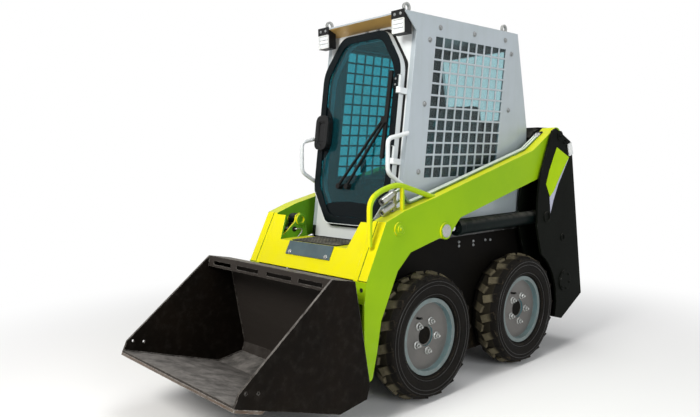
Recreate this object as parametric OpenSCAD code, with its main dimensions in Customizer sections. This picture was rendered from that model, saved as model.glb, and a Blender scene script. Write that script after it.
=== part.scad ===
// Skid steer loader with bucket, in millimetres.
// The x axis points forward, y to the machine's left and z up from the ground.

/* [Wheels] */
// Distance between the front and the rear axle
wheelbase = 736; // [722:2:780]
// Tyre diameter over the lug tips
tyre_od = 584; // [564:2:590]
// Width of a tyre
tyre_w = 145; // [136:1:150]
// Width of the machine over its tyres
overall_w = 880; // [872:2:940]
// Diameter of the rim flange
rim_d = 346; // [320:2:370]
// Height of a tyre lug
lug_h = 16; // [10:1:20]
// Lugs in each of the two rows on a tyre
lug_count = 18; // [12:1:20]
// Diameter of the circle of wheel studs
stud_circle_d = 140; // [130:1:150]
// Diameter of a stud hole
stud_hole_d = 16; // [10:1:18]
// Wheel studs
stud_count = 5; // [4:1:6]
// Depth of the rim disc behind the flange
disc_inset = 27; // [15:1:35]
// Diameter of the axle spindle
spindle_d = 80; // [60:1:86]

/* [Chassis] */
// Height of the belly above the ground
belly_z = 110; // [90:1:150]
// Height of the chassis top above the tyres
chassis_rise = 116; // [100:1:140]
// Length of the chassis ahead of the front axle
nose_len = 132; // [110:1:140]
// Height of the footwell floor above the ground
floor_z = 430; // [330:5:470]
// Thickness of the chassis plates
plate_t = 8; // [5:1:12]
// Gap between tyre and chassis side
tyre_gap = 10; // [8:1:20]

/* [Towers] */
// Height of the arm pivot above the tyres
pivot_rise = 613; // [600:1:640]
// Distance of the arm pivot behind the rear axle
pivot_setback = 332; // [320:1:350]
// Length of the machine behind the rear axle, at the bottom
rear_overhang = 592; // [580:1:620]
// Lean of the rear face
rear_lean = 8.8; // [6:0.2:10]
// Gap between the rear tyre and the wheel arch
arch_gap = 22; // [15:1:30]
// Thickness of a tower plate
tower_plate_t = 12; // [8:1:14]
// Gap between a tower plate and the arm
tower_gap = 10; // [8:1:14]

/* [Cab] */
// Length of the cab at its longest
cab_len = 1037; // [1020:1:1042]
// Lean of the cab front
cab_lean = 8.1; // [7:0.1:9]
// Setback of the cab front from the chassis nose
cab_setback = 48; // [44:1:60]
// Overhang of the cab side over the chassis side
cab_overhang = 15; // [10:1:17]
// Thickness of a cab wall
cab_wall = 25; // [20:1:30]
// Columns of openings in the side grille
grille_cols = 9; // [6:1:9]
// Rows of openings in the side grille
grille_rows = 12; // [8:1:12]
// Share of the cab's length that the grille takes up
grille_l_share = 0.546; // [0.4:0.002:0.55]
// Share of the cab's height that the grille takes up
grille_h_share = 0.627; // [0.45:0.002:0.63]
// Width of a grille bar
grille_bar = 9; // [6:1:9]
// Width of the front door
door_w = 534; // [510:1:534]
// Height of the front door
door_h = 922; // [880:1:930]
// Height of the sill under the front door
door_sill = 67.5; // [60:0.5:80]
// Height of the cab front over the door
door_head = 21; // [15:1:40]
// Thickness of the front door
door_t = 30; // [24:1:36]
// Width of the door border
door_border = 38; // [30:1:50]
// Size of a work lamp
lamp_size = 74; // [60:1:80]
// Width of an arm rest beside the seat
console_w = 52; // [40:1:60]
// Gap between the seat and an arm rest
seat_gap = 13; // [8:1:20]

/* [Lift arms] */
// Width of a lift arm
arm_w = 78; // [74:1:82]
// Distance of the arm inside the tyre face
arm_inset = 25; // [22:1:28]
// Distance of the bucket pin ahead of the front tyre
toe_gap = 90; // [88:1:110]
// Height of the bucket pin above the ground
pin_z = 203; // [200:1:225]
// Thickness of an arm plate
arm_plate_t = 12; // [10:1:13]
// Diameter of the arm pivot pin
pivot_pin_d = 50; // [40:1:56]
// Diameter of the bucket pin
pin_d = 28; // [24:1:32]
// Diameter of the guard rail tube
rail_d = 24; // [18:1:28]
// Diameter of a quick coupler
coupler_d = 34; // [28:1:38]
// Diameter of the bore of a quick coupler
coupler_bore_d = 18; // [14:1:22]

/* [Cylinders] */
// Diameter of a lift cylinder
lift_barrel_d = 70; // [60:1:74]
// Diameter of a lift cylinder rod
lift_rod_d = 36; // [28:1:40]
// Diameter of a tilt cylinder
tilt_barrel_d = 54; // [46:1:56]
// Diameter of a tilt cylinder rod
tilt_rod_d = 28; // [22:1:32]

/* [Bucket] */
// Width of the bucket
bucket_w = 900; // [880:2:960]
// Length of the bucket from its pin to its lip
bucket_depth = 643; // [600:1:700]
// Height of the bucket
bucket_h = 520; // [500:1:560]
// Height of the pin above the cutting edge
bucket_pin_h = 161; // [155:1:165]
// Thickness of the bucket sheet
bucket_t = 8; // [6:1:12]
// Thickness of a bucket side plate
bucket_side_t = 10; // [8:1:14]
// Thickness of the cutting edge
edge_t = 12; // [8:1:16]
// Length of the cutting edge
edge_len = 130; // [100:1:160]
// Angle that the bucket is rolled back
rollback = 18; // [15:1:20]

/* [Hidden] */

$fa = 6;
$fs = 1;

// Overrun of a cut past the face that it opens
overrun = plate_t;
// Running clearance between round faces that turn or slide
fit = 0.3;
// Clearance between parts that swing past each other
swing_gap = 5;
// Angle that the arms swing below the drawn pose
lower_angle = 1.5;

// Places of the main points
axle_x = wheelbase / 2;
axle_z = tyre_od / 2;
tyre_out_y = overall_w / 2;
tyre_in_y = tyre_out_y - tyre_w;
tyre_mid_y = tyre_out_y - tyre_w / 2;
chassis_y = tyre_in_y - tyre_gap;
chassis_top = tyre_od + chassis_rise;
nose_x = axle_x + nose_len;
cab_y = chassis_y + cab_overhang;
cab_in_y = cab_y - cab_wall;
cab_x = nose_x - cab_setback;
roof_t = cab_wall * 1.5;
front_h = door_sill + door_h + door_head;
cab_h = front_h * cos(cab_lean) + roof_t;
roof_z = chassis_top + cab_h;
arm_out_y = tyre_out_y - arm_inset;
arm_in_y = arm_out_y - arm_w;
arm_mid_y = arm_out_y - arm_w / 2;
tower_out_y = arm_out_y + tower_gap + tower_plate_t;
tower_in_y = arm_in_y - tower_gap - tower_plate_t;
pivot_x = -axle_x - pivot_setback;
pivot_z = tyre_od + pivot_rise;
pin_x = axle_x + axle_z + toe_gap;
reach = pin_x - pivot_x;
drop = pivot_z - pin_z;
rear_x = -axle_x - rear_overhang;
rear_z = axle_z;
tub_rear_x = -axle_x - tyre_od * 0.4;
front_x = pin_x + bucket_depth * cos(rollback) + bucket_pin_h * sin(rollback);
mid_x = (front_x + rear_x) / 2;

// Points and outlines
function unit(v) = v / norm(v);
function turned(p, a) = [p[0] * cos(a) - p[1] * sin(a), p[0] * sin(a) + p[1] * cos(a)];
function left_of(v) = [-v[1], v[0]];
function arm_point(s) = [pivot_x + s[0] * reach, pin_z + s[1] * drop];
function rear_face_x(z) = rear_x + (z - rear_z) * tan(rear_lean);
function front_face_x(z) = cab_x - (z - chassis_top) * tan(cab_lean);

// Offset of an open line of points to its left side
function miter(a, b, c, d) =
    let (u = unit(b - a), v = unit(c - b), m = unit(left_of(u) + left_of(v)))
    b + m * d / (m * left_of(u));
function beside(p, d) = [
    for (i = [0 : len(p) - 1])
        i == 0 ? p[0] + left_of(unit(p[1] - p[0])) * d
        : i == len(p) - 1 ? p[i] + left_of(unit(p[i] - p[i - 1])) * d
        : miter(p[i - 1], p[i], p[i + 1], d)];
function backward(p) = [for (i = [len(p) - 1 : -1 : 0]) p[i]];
function strip(p, d) = concat(p, backward(beside(p, d)));

// A line of points with rounded corners
bend_steps = 5;
function bend(a, b, c, r) =
    let (s = b + unit(a - b) * r, e = b + unit(c - b) * r)
    [for (k = [0 : bend_steps])
        let (t = k / bend_steps) (1 - t) * (1 - t) * s + 2 * t * (1 - t) * b + t * t * e];
function rounded(p, r) = concat(
    [p[0]],
    [for (i = [1 : len(p) - 2]) each bend(p[i - 1], p[i], p[i + 1], r)],
    [p[len(p) - 1]]);
function rounded_loop(p, r) = [
    for (i = [0 : len(p) - 1])
        each bend(p[(i + len(p) - 1) % len(p)], p[i], p[(i + 1) % len(p)], r)];

// A round tube along a line of points in space
pipe_sides = 12;
function along(p, i) = unit(p[min(i + 1, len(p) - 1)] - p[max(i - 1, 0)]);
function ring(p, i, r, flat) =
    let (t = along(p, i), u = unit(cross(flat, t)), v = cross(t, u))
    [for (k = [0 : pipe_sides - 1])
        let (a = 360 * k / pipe_sides) p[i] + r * (u * cos(a) + v * sin(a))];
module pipe(p, d, flat) {
    points = [for (i = [0 : len(p) - 1]) each ring(p, i, d / 2, flat)];
    sides = [
        for (i = [0 : len(p) - 2])
            for (k = [0 : pipe_sides - 1])
                let (a = i * pipe_sides, n = (k + 1) % pipe_sides)
                [a + k, a + pipe_sides + k, a + pipe_sides + n, a + n]];
    first = [for (k = [0 : pipe_sides - 1]) k];
    last = [for (k = [pipe_sides - 1 : -1 : 0]) (len(p) - 1) * pipe_sides + k];
    polyhedron(points, concat(sides, [first, last]));
}

// Frames that the pieces are drawn in
module place() {
    translate([-mid_x, 0, 0]) children();
}
module both_sides() {
    children();
    mirror([0, 1, 0]) children();
}
module slab(y0, y1) {
    translate([0, y1, 0]) rotate([90, 0, 0]) linear_extrude(y1 - y0) children();
}
module across(p, y0, y1, d) {
    translate([p[0], y0, p[1]]) rotate([-90, 0, 0]) cylinder(h = y1 - y0, d = d);
}
module bore(p, y0, y1, d) {
    across(p, y0 - overrun, y1 + overrun, d);
}
module on_front() {
    translate([cab_x, 0, chassis_top]) rotate([0, -cab_lean, 0]) rotate([90, 0, 90]) children();
}
module on_rear() {
    translate([rear_x, 0, rear_z]) rotate([0, rear_lean, 0]) rotate([90, 0, -90]) children();
}
module raised(z0, z1) {
    translate([0, 0, z0]) linear_extrude(z1 - z0) children();
}
module box(x0, x1, y0, y1, z0, z1) {
    translate([x0, y0, z0]) cube([x1 - x0, y1 - y0, z1 - z0]);
}
module in_bucket() {
    translate([pin_x, 0, pin_z]) rotate([0, -rollback, 0]) children();
}

// Wheel sizes
rim_half_w = tyre_w * 0.345;
seat_d = rim_d - tyre_w * 0.18;
lip_w = tyre_w * 0.07;
bead_y = rim_half_w - lip_w - fit;
disc_y = rim_half_w - disc_inset;
disc_t = plate_t;
hub_d = spindle_d * 1.5;
hub_y = -tyre_w * 0.31;
hub_hole_d = spindle_d * 1.2;
rim_t = lip_w * 0.6;
stud_turn = 26;
carcass_r = axle_z - lug_h;
wall_shares = [
    [0.08, 0.84], [0.3, 0.96], [0.52, 1], [0.74, 1], [0.86, 0.96], [0.91, 0.86], [1, 0.55]];
lug_l = tyre_w * 0.5;
lug_t = axle_z * 0.13;
lug_skew = 20;
lug_crown = 17;
lug_y = tyre_w * 0.235;
lug_reach = (lug_l * sin(lug_skew) + lug_t * cos(lug_skew)) / 2;
lug_top = sqrt(axle_z * axle_z - lug_reach * lug_reach) - lug_l / 2 * sin(lug_crown);
lug_depth = 3 * lug_h;

function wall_point(s, side) = [
    rim_d / 2 + fit + s[0] * (carcass_r - rim_d / 2 - fit), side * s[1] * tyre_w / 2];
tyre_profile = concat(
    [[seat_d / 2 + fit, bead_y], [rim_d / 2 + fit, bead_y]],
    [for (s = wall_shares) wall_point(s, 1)],
    backward([for (s = wall_shares) wall_point(s, -1)]),
    [[rim_d / 2 + fit, -bead_y], [seat_d / 2 + fit, -bead_y]]);
rim_profile = [
    [hub_hole_d / 2, disc_y], [hub_hole_d / 2, disc_y - disc_t],
    [spindle_d / 2 + fit, disc_y - disc_t], [spindle_d / 2 + fit, hub_y], [hub_d / 2, hub_y],
    [hub_d / 2, disc_y - disc_t], [seat_d / 2 - rim_t, disc_y - disc_t],
    [seat_d / 2 - rim_t, -rim_half_w], [rim_d / 2, -rim_half_w],
    [rim_d / 2, lip_w - rim_half_w], [seat_d / 2, lip_w - rim_half_w],
    [seat_d / 2, rim_half_w - lip_w], [rim_d / 2, rim_half_w - lip_w],
    [rim_d / 2, rim_half_w], [seat_d / 2 - rim_t, rim_half_w],
    [seat_d / 2 - rim_t, disc_y]];

// Wheels drawn about z, with the outer face up
module tyre_lug(side) {
    translate([0, 0, side * lug_y]) rotate([side * lug_skew, 0, 0])
        translate([lug_top, 0, 0]) rotate([0, -side * lug_crown, 0])
            translate([-lug_depth, -lug_t / 2, -lug_l / 2]) cube([lug_depth, lug_t, lug_l]);
}
module tyre_ring() {
    rotate_extrude() polygon(tyre_profile);
    for (k = [0 : lug_count - 1]) {
        rotate([0, 0, 360 * k / lug_count]) tyre_lug(1);
        rotate([0, 0, 360 * (k + 0.5) / lug_count]) tyre_lug(-1);
    }
}
module rim_ring() {
    difference() {
        rotate_extrude() polygon(rim_profile);
        for (k = [0 : stud_count - 1])
            rotate([0, 0, 360 * k / stud_count + stud_turn])
                translate([stud_circle_d / 2, 0, disc_y - disc_t - overrun])
                    cylinder(h = disc_t + 2 * overrun, d = stud_hole_d);
    }
}
module at_wheel(end, side) {
    translate([end * axle_x, side * tyre_mid_y, axle_z]) rotate([-90 * side, 0, 0]) children();
}
module tyre(end, side) {
    color([0.08, 0.08, 0.08]) place() at_wheel(end, side) tyre_ring();
}
module rim(end, side) {
    color([0.55, 0.56, 0.56]) place() at_wheel(end, side) rim_ring();
}
module tyre_front_left() { tyre(1, 1); }
module tyre_front_right() { tyre(1, -1); }
module tyre_rear_left() { tyre(-1, 1); }
module tyre_rear_right() { tyre(-1, -1); }
module rim_front_left() { rim(1, 1); }
module rim_front_right() { rim(1, -1); }
module rim_rear_left() { rim(-1, 1); }
module rim_rear_right() { rim(-1, -1); }

// Axle housings with their spindles
housing_d = hub_d * 0.92;
spindle_end_y = tyre_mid_y + disc_y - disc_t;
housing_end_y = tyre_mid_y + hub_y - swing_gap;
module axles() {
    color([0.1, 0.1, 0.1]) place() both_sides()
        for (end = [-1, 1]) {
            across([end * axle_x, axle_z], chassis_y, housing_end_y, housing_d);
            across([end * axle_x, axle_z], housing_end_y, spindle_end_y, spindle_d);
        }
}

// Chassis tub with footwell, and the engine box behind it
nose_cut = nose_len * 0.45;
seat_box_x = nose_x - cab_len * 0.42;
engine_box_x = tub_rear_x;
engine_box_z = pivot_z - pivot_rise * 0.16;
kick = [tub_rear_x - tyre_od * 0.235, belly_z + tyre_od * 0.12];
rear_low = [rear_x, rear_z];
arch_r = axle_z + arch_gap;
engine_wall = [
    [engine_box_x, chassis_top], [engine_box_x, engine_box_z],
    [rear_face_x(engine_box_z) + door_t, engine_box_z], [rear_x + door_t, rear_z],
    kick, [engine_box_x, belly_z]];
engine_floor = [[rear_x + door_t, rear_z], kick, [engine_box_x, belly_z]];
module tub() {
    difference() {
        slab(-chassis_y, chassis_y) polygon([
            [nose_x, belly_z + nose_cut], [nose_x, chassis_top], [tub_rear_x, chassis_top],
            [tub_rear_x, belly_z], [nose_x - nose_cut, belly_z]]);
        slab(plate_t - chassis_y, chassis_y - plate_t) polygon([
            [nose_x - plate_t, belly_z + nose_cut + plate_t], [nose_x - plate_t, floor_z],
            [seat_box_x, floor_z], [seat_box_x, chassis_top - plate_t],
            [tub_rear_x - overrun, chassis_top - plate_t],
            [tub_rear_x - overrun, belly_z + plate_t],
            [nose_x - nose_cut - plate_t, belly_z + plate_t]]);
        box(seat_box_x + plate_t, nose_x - plate_t, plate_t - chassis_y, chassis_y - plate_t,
            floor_z + plate_t, chassis_top + overrun);
    }
}
module engine_box() {
    both_sides() difference() {
        slab(tower_in_y - plate_t, tower_in_y) polygon(engine_wall);
        bore([-axle_x, axle_z], tower_in_y - plate_t, tower_in_y, 2 * arch_r);
    }
    difference() {
        slab(plate_t - tower_in_y, tower_in_y - plate_t) polygon(strip(engine_floor, plate_t));
        both_sides() across([-axle_x, axle_z], chassis_y, tower_in_y, 2 * arch_r);
    }
    box(engine_box_x - plate_t, engine_box_x, plate_t - tower_in_y, tower_in_y - plate_t,
        chassis_top - plate_t, engine_box_z);
}
module chassis() {
    color([0.09, 0.09, 0.1]) place() {
        tub();
        engine_box();
    }
}

// Engine with its pumps as one plain block
engine_l = tyre_od * 0.6;
engine_y = chassis_y * 0.66;
engine_x0 = tub_rear_x - engine_l * 0.5;
engine_x1 = tub_rear_x + engine_l * 0.55;
engine_z0 = belly_z + plate_t;
engine_z1 = chassis_top - plate_t * 4;
engine_step_x = tub_rear_x + plate_t * 2;
engine_step_z = kick[1] + tyre_od * 0.14;
module engine() {
    color([0.3, 0.3, 0.31]) place() slab(-engine_y, engine_y) polygon([
        [engine_x1, engine_z0], [engine_x1, engine_z1], [engine_x0, engine_z1],
        [engine_x0, engine_step_z], [engine_step_x, engine_step_z], [engine_step_x, engine_z0]]);
}

// Towers that carry the arms, each of two plates closed at the rear
tower_depth = tyre_od * 0.445;
tower_shares = [
    [0.846, 0.464], [0.838, 0.609], [0.758, 0.751], [0.558, 0.871], [0.288, 1.031],
    [0.154, 1.045], [-0.442, 0.968]];
arch_steps = 10;
arch_angles = [196, 120];
function tower_point(s) = [
    pivot_x + s[0] * tower_depth, axle_z + s[1] * (pivot_z - axle_z)];
tower_arch = [
    for (k = [0 : arch_steps])
        let (a = arch_angles[0] + (arch_angles[1] - arch_angles[0]) * k / arch_steps)
        [arch_r * cos(a) - axle_x, axle_z + arch_r * sin(a)]];
tower_top = tower_point(tower_shares[6]);
tower_back = [
    tower_top, [rear_face_x(engine_box_z), engine_box_z], rear_low, kick];
tower_outline = concat(
    [for (s = tower_shares) tower_point(s)], [tower_back[1], rear_low, kick], tower_arch);
lift_base = [pivot_x + tower_depth * 0.485, axle_z + (pivot_z - axle_z) * 0.519];
lift_base_pin_d = pivot_pin_d * 0.8;
cap_t = tower_plate_t * 0.5;
pivot_cap_d = pivot_pin_d * 1.1;
cover_at = [rear_x + tyre_od * 0.33, axle_z + axle_z * 0.34];
cover_d = tyre_od * 0.2;
tie_hole_at = [pivot_x - tower_depth * 0.21, pivot_z - tower_depth * 0.125];
tie_hole_d = pivot_pin_d * 0.52;
module tower() {
    difference() {
        union() {
            slab(tower_in_y, tower_in_y + tower_plate_t) polygon(tower_outline);
            slab(tower_out_y - tower_plate_t, tower_out_y) polygon(tower_outline);
            slab(tower_in_y, tower_out_y) polygon(strip(tower_back, tower_plate_t));
            across([pivot_x, pivot_z], tower_in_y, tower_out_y, pivot_pin_d);
            across(lift_base, tower_in_y, tower_out_y, lift_base_pin_d);
            across([pivot_x, pivot_z], tower_out_y, tower_out_y + cap_t / 2, pivot_cap_d);
            across(cover_at, tower_out_y, tower_out_y + cap_t, cover_d);
        }
        bore(tie_hole_at, tower_in_y, tower_out_y, tie_hole_d);
    }
}
module towers() {
    color([0.1, 0.1, 0.11]) place() {
        both_sides() tower();
        on_rear() for (h = rear_hinge_heights) rear_hinge_foot(h);
    }
}

// Hood over the engine box, between the towers
hood_y = tower_in_y - swing_gap;
hood_h = pivot_rise * 0.245;
hood_x = tub_rear_x;
hood_rear_x = rear_face_x(engine_box_z);
hood_outline = [
    [hood_x, engine_box_z], [hood_x, engine_box_z + hood_h * 0.62],
    [hood_x - hood_h * 0.5, engine_box_z + hood_h],
    [hood_rear_x + hood_h * 0.35, engine_box_z + hood_h],
    [hood_rear_x, engine_box_z + hood_h * 0.5], [hood_rear_x, engine_box_z]];
module hood() {
    color([0.12, 0.12, 0.12]) place() slab(-hood_y, hood_y) polygon(hood_outline);
}

// Lamps on the rear edges of the towers
tail_lamp_h = tower_depth * 0.26;
tail_lamp_t = tail_lamp_h * 0.3;
tail_lamp_w = arm_w;
tail_face = unit(tower_back[0] - tower_back[1]);
tail_out = left_of(tail_face);
tail_at = tower_back[0] - tail_face * tail_lamp_h * 0.08;
module tail_lamps() {
    color([0.85, 0.85, 0.83]) place() both_sides()
        slab(arm_mid_y - tail_lamp_w / 2, arm_mid_y + tail_lamp_w / 2) polygon([
            tail_at, tail_at - tail_face * tail_lamp_h,
            tail_at - tail_face * tail_lamp_h + tail_out * tail_lamp_t,
            tail_at + tail_out * tail_lamp_t]);
    color([0.85, 0.85, 0.83]) place() both_sides()
        slab(tower_out_y, tower_out_y + cap_t) polygon([
            tail_at - tail_out * tail_lamp_t * 1.9,
            tail_at - tail_face * tail_lamp_h - tail_out * tail_lamp_t * 1.9,
            tail_at - tail_face * tail_lamp_h, tail_at]);
}

// Rear door, hinged on the right
rear_door_y = tower_in_y - swing_gap;
rear_door_h0 = tyre_od * 0.06;
rear_door_h1 = (engine_box_z - rear_z) / cos(rear_lean) - swing_gap;
rear_door_t = door_t * 0.7;
louvre_h = tyre_od * 0.035;
louvre_count = 7;
louvre_y = rear_door_y * 0.72;
louvre_share = 0.42;
module rear_door_slots() {
    for (k = [0 : louvre_count - 1])
        translate([-louvre_y, rear_door_h1 * louvre_share + k * 2 * louvre_h])
            square([2 * louvre_y, louvre_h]);
}
rear_hinge_d = rear_door_t * 0.4;
rear_hinge_y = rear_door_y - rear_hinge_d;
rear_pin_d = rear_door_t * 0.5;
rear_knuckle_d = rear_hinge_d * 2;
rear_knuckle_h = rear_door_h1 * 0.08;
rear_foot_h = rear_knuckle_h * 0.35;
rear_foot_y = tower_in_y + tower_plate_t * 2;
rear_hinge_heights = [rear_door_h1 * 0.2, rear_door_h1 * 0.8];
module rear_hinge_foot(h) {
    translate([rear_hinge_y, h - rear_foot_h, rear_hinge_d]) rotate([-90, 0, 0]) {
        cylinder(h = rear_foot_h + rear_knuckle_h, d = rear_pin_d);
        cylinder(h = rear_foot_h, d = rear_knuckle_d - 4 * fit);
    }
    translate([rear_hinge_y, h - rear_foot_h, rear_hinge_d * 0.6])
        cube([rear_foot_y - rear_hinge_y, rear_foot_h, rear_hinge_d * 0.8]);
    translate([tower_in_y + fit, h - rear_foot_h, 0])
        cube([rear_foot_y - tower_in_y - fit, rear_foot_h, rear_hinge_d]);
}
module rear_knuckle(h) {
    difference() {
        union() {
            translate([rear_hinge_y, h + fit, rear_hinge_d]) rotate([-90, 0, 0])
                cylinder(h = rear_knuckle_h - fit, d = rear_knuckle_d);
            translate([rear_hinge_y - 3 * rear_knuckle_d, h + fit, 0])
                cube([3 * rear_knuckle_d, rear_knuckle_h - fit, rear_hinge_d]);
        }
        translate([rear_hinge_y, h - overrun, rear_hinge_d]) rotate([-90, 0, 0])
            cylinder(h = rear_knuckle_h + 2 * overrun, d = rear_pin_d + 2 * fit);
    }
}
module rear_door() {
    color([0.11, 0.11, 0.11]) place() on_rear() {
        for (h = rear_hinge_heights) rear_knuckle(h);
        raised(-rear_door_t, 0) difference() {
            translate([-rear_door_y, rear_door_h0])
                square([2 * rear_door_y, rear_door_h1 - rear_door_h0]);
            rear_door_slots();
        }
        translate([-rear_door_y * 0.8, rear_door_h1 * 0.3, 0])
            cube([rear_door_y * 0.1, rear_door_h1 * 0.14, rear_door_t]);
    }
}

// Cab outline seen from the side
brow_share = 0.921;
brow_x_share = 0.061;
cab_shares = [[0.911, 1], [1, 0.527], [1, 0.385], [0.9325, 0.241], [0.9325, 0]];
function cab_point(s) = [cab_x - s[0] * cab_len, chassis_top + s[1] * cab_h];
brow_z = chassis_top + brow_share * cab_h;
brow_foot = [front_face_x(brow_z), brow_z];
brow_tip_x = cab_x - brow_x_share * cab_len;
brow_lip = cab_wall * 0.3;
cab_rear_line = [for (s = cab_shares) cab_point(s)];
cab_outline = concat(
    [[cab_x, chassis_top], brow_foot, [brow_tip_x, roof_z - brow_lip], [brow_tip_x, roof_z]],
    cab_rear_line);

// Side grille, sheared along with the cab front
grille_l = cab_len * grille_l_share;
grille_h = cab_h * grille_h_share;
grille_open_l = (grille_l + grille_bar) / grille_cols - grille_bar;
grille_open_h = (grille_h + grille_bar) / grille_rows - grille_bar;
grille_front = cab_len * 0.132;
grille_z = chassis_top + cab_h * 0.285;
grille_t = cab_wall * 0.2;
glass_t = cab_wall * 0.24;
glass_margin = grille_bar * 2;
function grille_point(l, h) = [
    front_face_x(grille_z + h) - grille_front - l, grille_z + h];
function grille_cell(l0, h0, l1, h1) = [
    grille_point(l0, h0), grille_point(l0, h1), grille_point(l1, h1), grille_point(l1, h0)];
module grille_holes() {
    for (i = [0 : grille_cols - 1])
        for (j = [0 : grille_rows - 1])
            let (l = i * (grille_open_l + grille_bar), h = j * (grille_open_h + grille_bar))
                polygon(grille_cell(l, h, l + grille_open_l, h + grille_open_h));
}
module glass_outline(margin) {
    polygon(grille_cell(-margin, -margin, grille_l + margin, grille_h + margin));
}
module brow_space() {
    polygon([
        brow_foot, [front_face_x(roof_z), roof_z], [front_face_x(roof_z), roof_z + overrun],
        [brow_tip_x + overrun, roof_z + overrun], [brow_tip_x + overrun, brow_foot[1]]]);
}
module cab_sides() {
    color([0.62, 0.64, 0.65]) place() both_sides() {
        slab(cab_y - grille_t, cab_y) difference() {
            polygon(cab_outline);
            grille_holes();
        }
        slab(cab_in_y, cab_y - grille_t) difference() {
            polygon(cab_outline);
            glass_outline(glass_margin);
            brow_space();
        }
    }
}
module side_glass() {
    color([0.12, 0.17, 0.2]) place() both_sides()
        slab(cab_y - grille_t - fit - glass_t, cab_y - grille_t - fit)
            glass_outline(glass_margin - fit);
}

// Eight cornered outline of the front door, in the plane of the cab front
door_foot = door_sill;
hinge_y = cab_y - cab_wall * 1.52;
door_mid_y = hinge_y - swing_gap - door_w / 2;
door_cut_shares = [[0.22, 0.185], [0.21, 0.175]];
door_corner = door_w * 0.085;
module door_outline(inset) {
    w = door_w / 2 - inset;
    cut_top = [door_w * door_cut_shares[0][0], door_h * door_cut_shares[0][1]];
    cut_low = [door_w * door_cut_shares[1][0], door_h * door_cut_shares[1][1]];
    slant = inset * 0.4;
    z0 = door_foot + inset;
    z1 = door_foot + door_h - inset;
    translate([door_mid_y, 0]) polygon(rounded_loop([
        [w, z0 + cut_low[1] - slant], [w, z1 - cut_top[1] + slant],
        [w - cut_top[0] + slant, z1], [cut_top[0] - slant - w, z1],
        [-w, z1 - cut_top[1] + slant], [-w, z0 + cut_low[1] - slant],
        [cut_low[0] - slant - w, z0], [w - cut_low[0] + slant, z0]], door_corner));
}
door_in_d = swing_gap;
door_out_d = door_in_d + door_t;
hinge_d = door_out_d + cab_wall * 0.4;
hinge_pin_d = cab_wall * 0.48;
knuckle_d = cab_wall * 0.88;
knuckle_h = cab_wall * 2.1;
hinge_foot_h = knuckle_h * 0.5;
hinge_heights = [door_foot + door_h * 0.345, door_foot + door_h * 0.692];
front_t = cab_wall * 1.2;
opening_inset = door_border * 0.7;
module hinge_foot(h) {
    translate([hinge_y, h - hinge_foot_h, hinge_d]) rotate([-90, 0, 0])
        cylinder(h = hinge_foot_h + knuckle_h, d = hinge_pin_d);
    translate([hinge_y, h - hinge_foot_h, hinge_d]) rotate([-90, 0, 0])
        cylinder(h = hinge_foot_h, d = knuckle_d);
    translate([hinge_y, h - hinge_foot_h, 0])
        cube([cab_in_y - hinge_y, hinge_foot_h, hinge_d]);
}
module cab_front() {
    color([0.8, 0.81, 0.81]) place() on_front() {
        raised(-front_t, 0) difference() {
            translate([-cab_in_y, 0]) square([2 * cab_in_y, front_h]);
            door_outline(opening_inset);
        }
        for (h = hinge_heights) hinge_foot(h);
    }
}

// Roof with its brow
module cab_roof() {
    under_z = roof_z - roof_t;
    color([0.66, 0.67, 0.67]) place() {
        slab(-cab_in_y, cab_in_y) polygon([
            cab_rear_line[0], [brow_tip_x, roof_z], [brow_tip_x, roof_z - brow_lip],
            [front_face_x(under_z), under_z],
            [cab_rear_line[0][0] - roof_t * cab_rear_slope, under_z]]);
        both_sides() slab(cab_in_y, cab_y - grille_t) polygon([
            [front_face_x(roof_z), roof_z], [brow_tip_x, roof_z],
            [brow_tip_x, roof_z - brow_lip], [front_face_x(under_z), under_z]]);
    }
}

// Rear wall with its window
cab_rear_slope = (cab_rear_line[0][0] - cab_rear_line[1][0])
    / (cab_rear_line[0][1] - cab_rear_line[1][1]);
cab_rear_path = concat(
    [[cab_rear_line[0][0] - roof_t * cab_rear_slope, roof_z - roof_t]],
    [for (i = [1 : len(cab_rear_line) - 1]) cab_rear_line[i]]);
window_y = cab_in_y * 0.8;
window_z0 = chassis_top + cab_h * 0.57;
window_z1 = chassis_top + cab_h * 0.92;
function rear_wall_x(z) =
    cab_rear_line[0][0] - (roof_z - z) * cab_rear_slope + cab_wall / 2;
module cab_rear() {
    color([0.6, 0.61, 0.62]) place() difference() {
        slab(-cab_in_y, cab_in_y) polygon(strip(cab_rear_path, cab_wall));
        box(rear_wall_x(window_z0) - 2 * cab_wall, rear_wall_x(window_z1) + 2 * cab_wall,
            -window_y, window_y, window_z0, window_z1);
    }
}
module rear_glass() {
    low = window_z0 + fit;
    high = window_z1 - fit;
    color([0.2, 0.26, 0.28]) place() slab(fit - window_y, window_y - fit) polygon([
        [rear_wall_x(low) - glass_t / 2, low], [rear_wall_x(low) + glass_t / 2, low],
        [rear_wall_x(high) + glass_t / 2, high], [rear_wall_x(high) - glass_t / 2, high]]);
}

// Work lamps under the brow, on brackets that reach over its lip
lamp_t = lamp_size * 0.6;
lamp_w = lamp_size * 1.05;
lamp_x = brow_tip_x - lamp_t;
lamp_y = cab_y - lamp_size * 0.6;
lamp_lip = lamp_size * 0.08;
roof_under = roof_z - roof_t;
brow_root_x = front_face_x(roof_under);
brow_slope = (roof_t - brow_lip) / (brow_tip_x - brow_root_x);
function brow_under_z(x) = roof_under + (x - brow_root_x) * brow_slope;
lamp_top = brow_under_z(lamp_x);
module work_lamps() {
    color([0.13, 0.13, 0.13]) place() both_sides()
        slab(lamp_y - lamp_w / 2, lamp_y + lamp_w / 2) polygon([
            [lamp_x, lamp_top - lamp_size], [brow_tip_x, lamp_top - lamp_size],
            [brow_tip_x, lamp_top - lamp_lip], [brow_tip_x + lamp_lip, lamp_top - lamp_lip],
            [brow_tip_x + lamp_lip, roof_z + lamp_lip], [brow_tip_x, roof_z + lamp_lip],
            [brow_tip_x, roof_z - brow_lip], [lamp_x, lamp_top]]);
}

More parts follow.
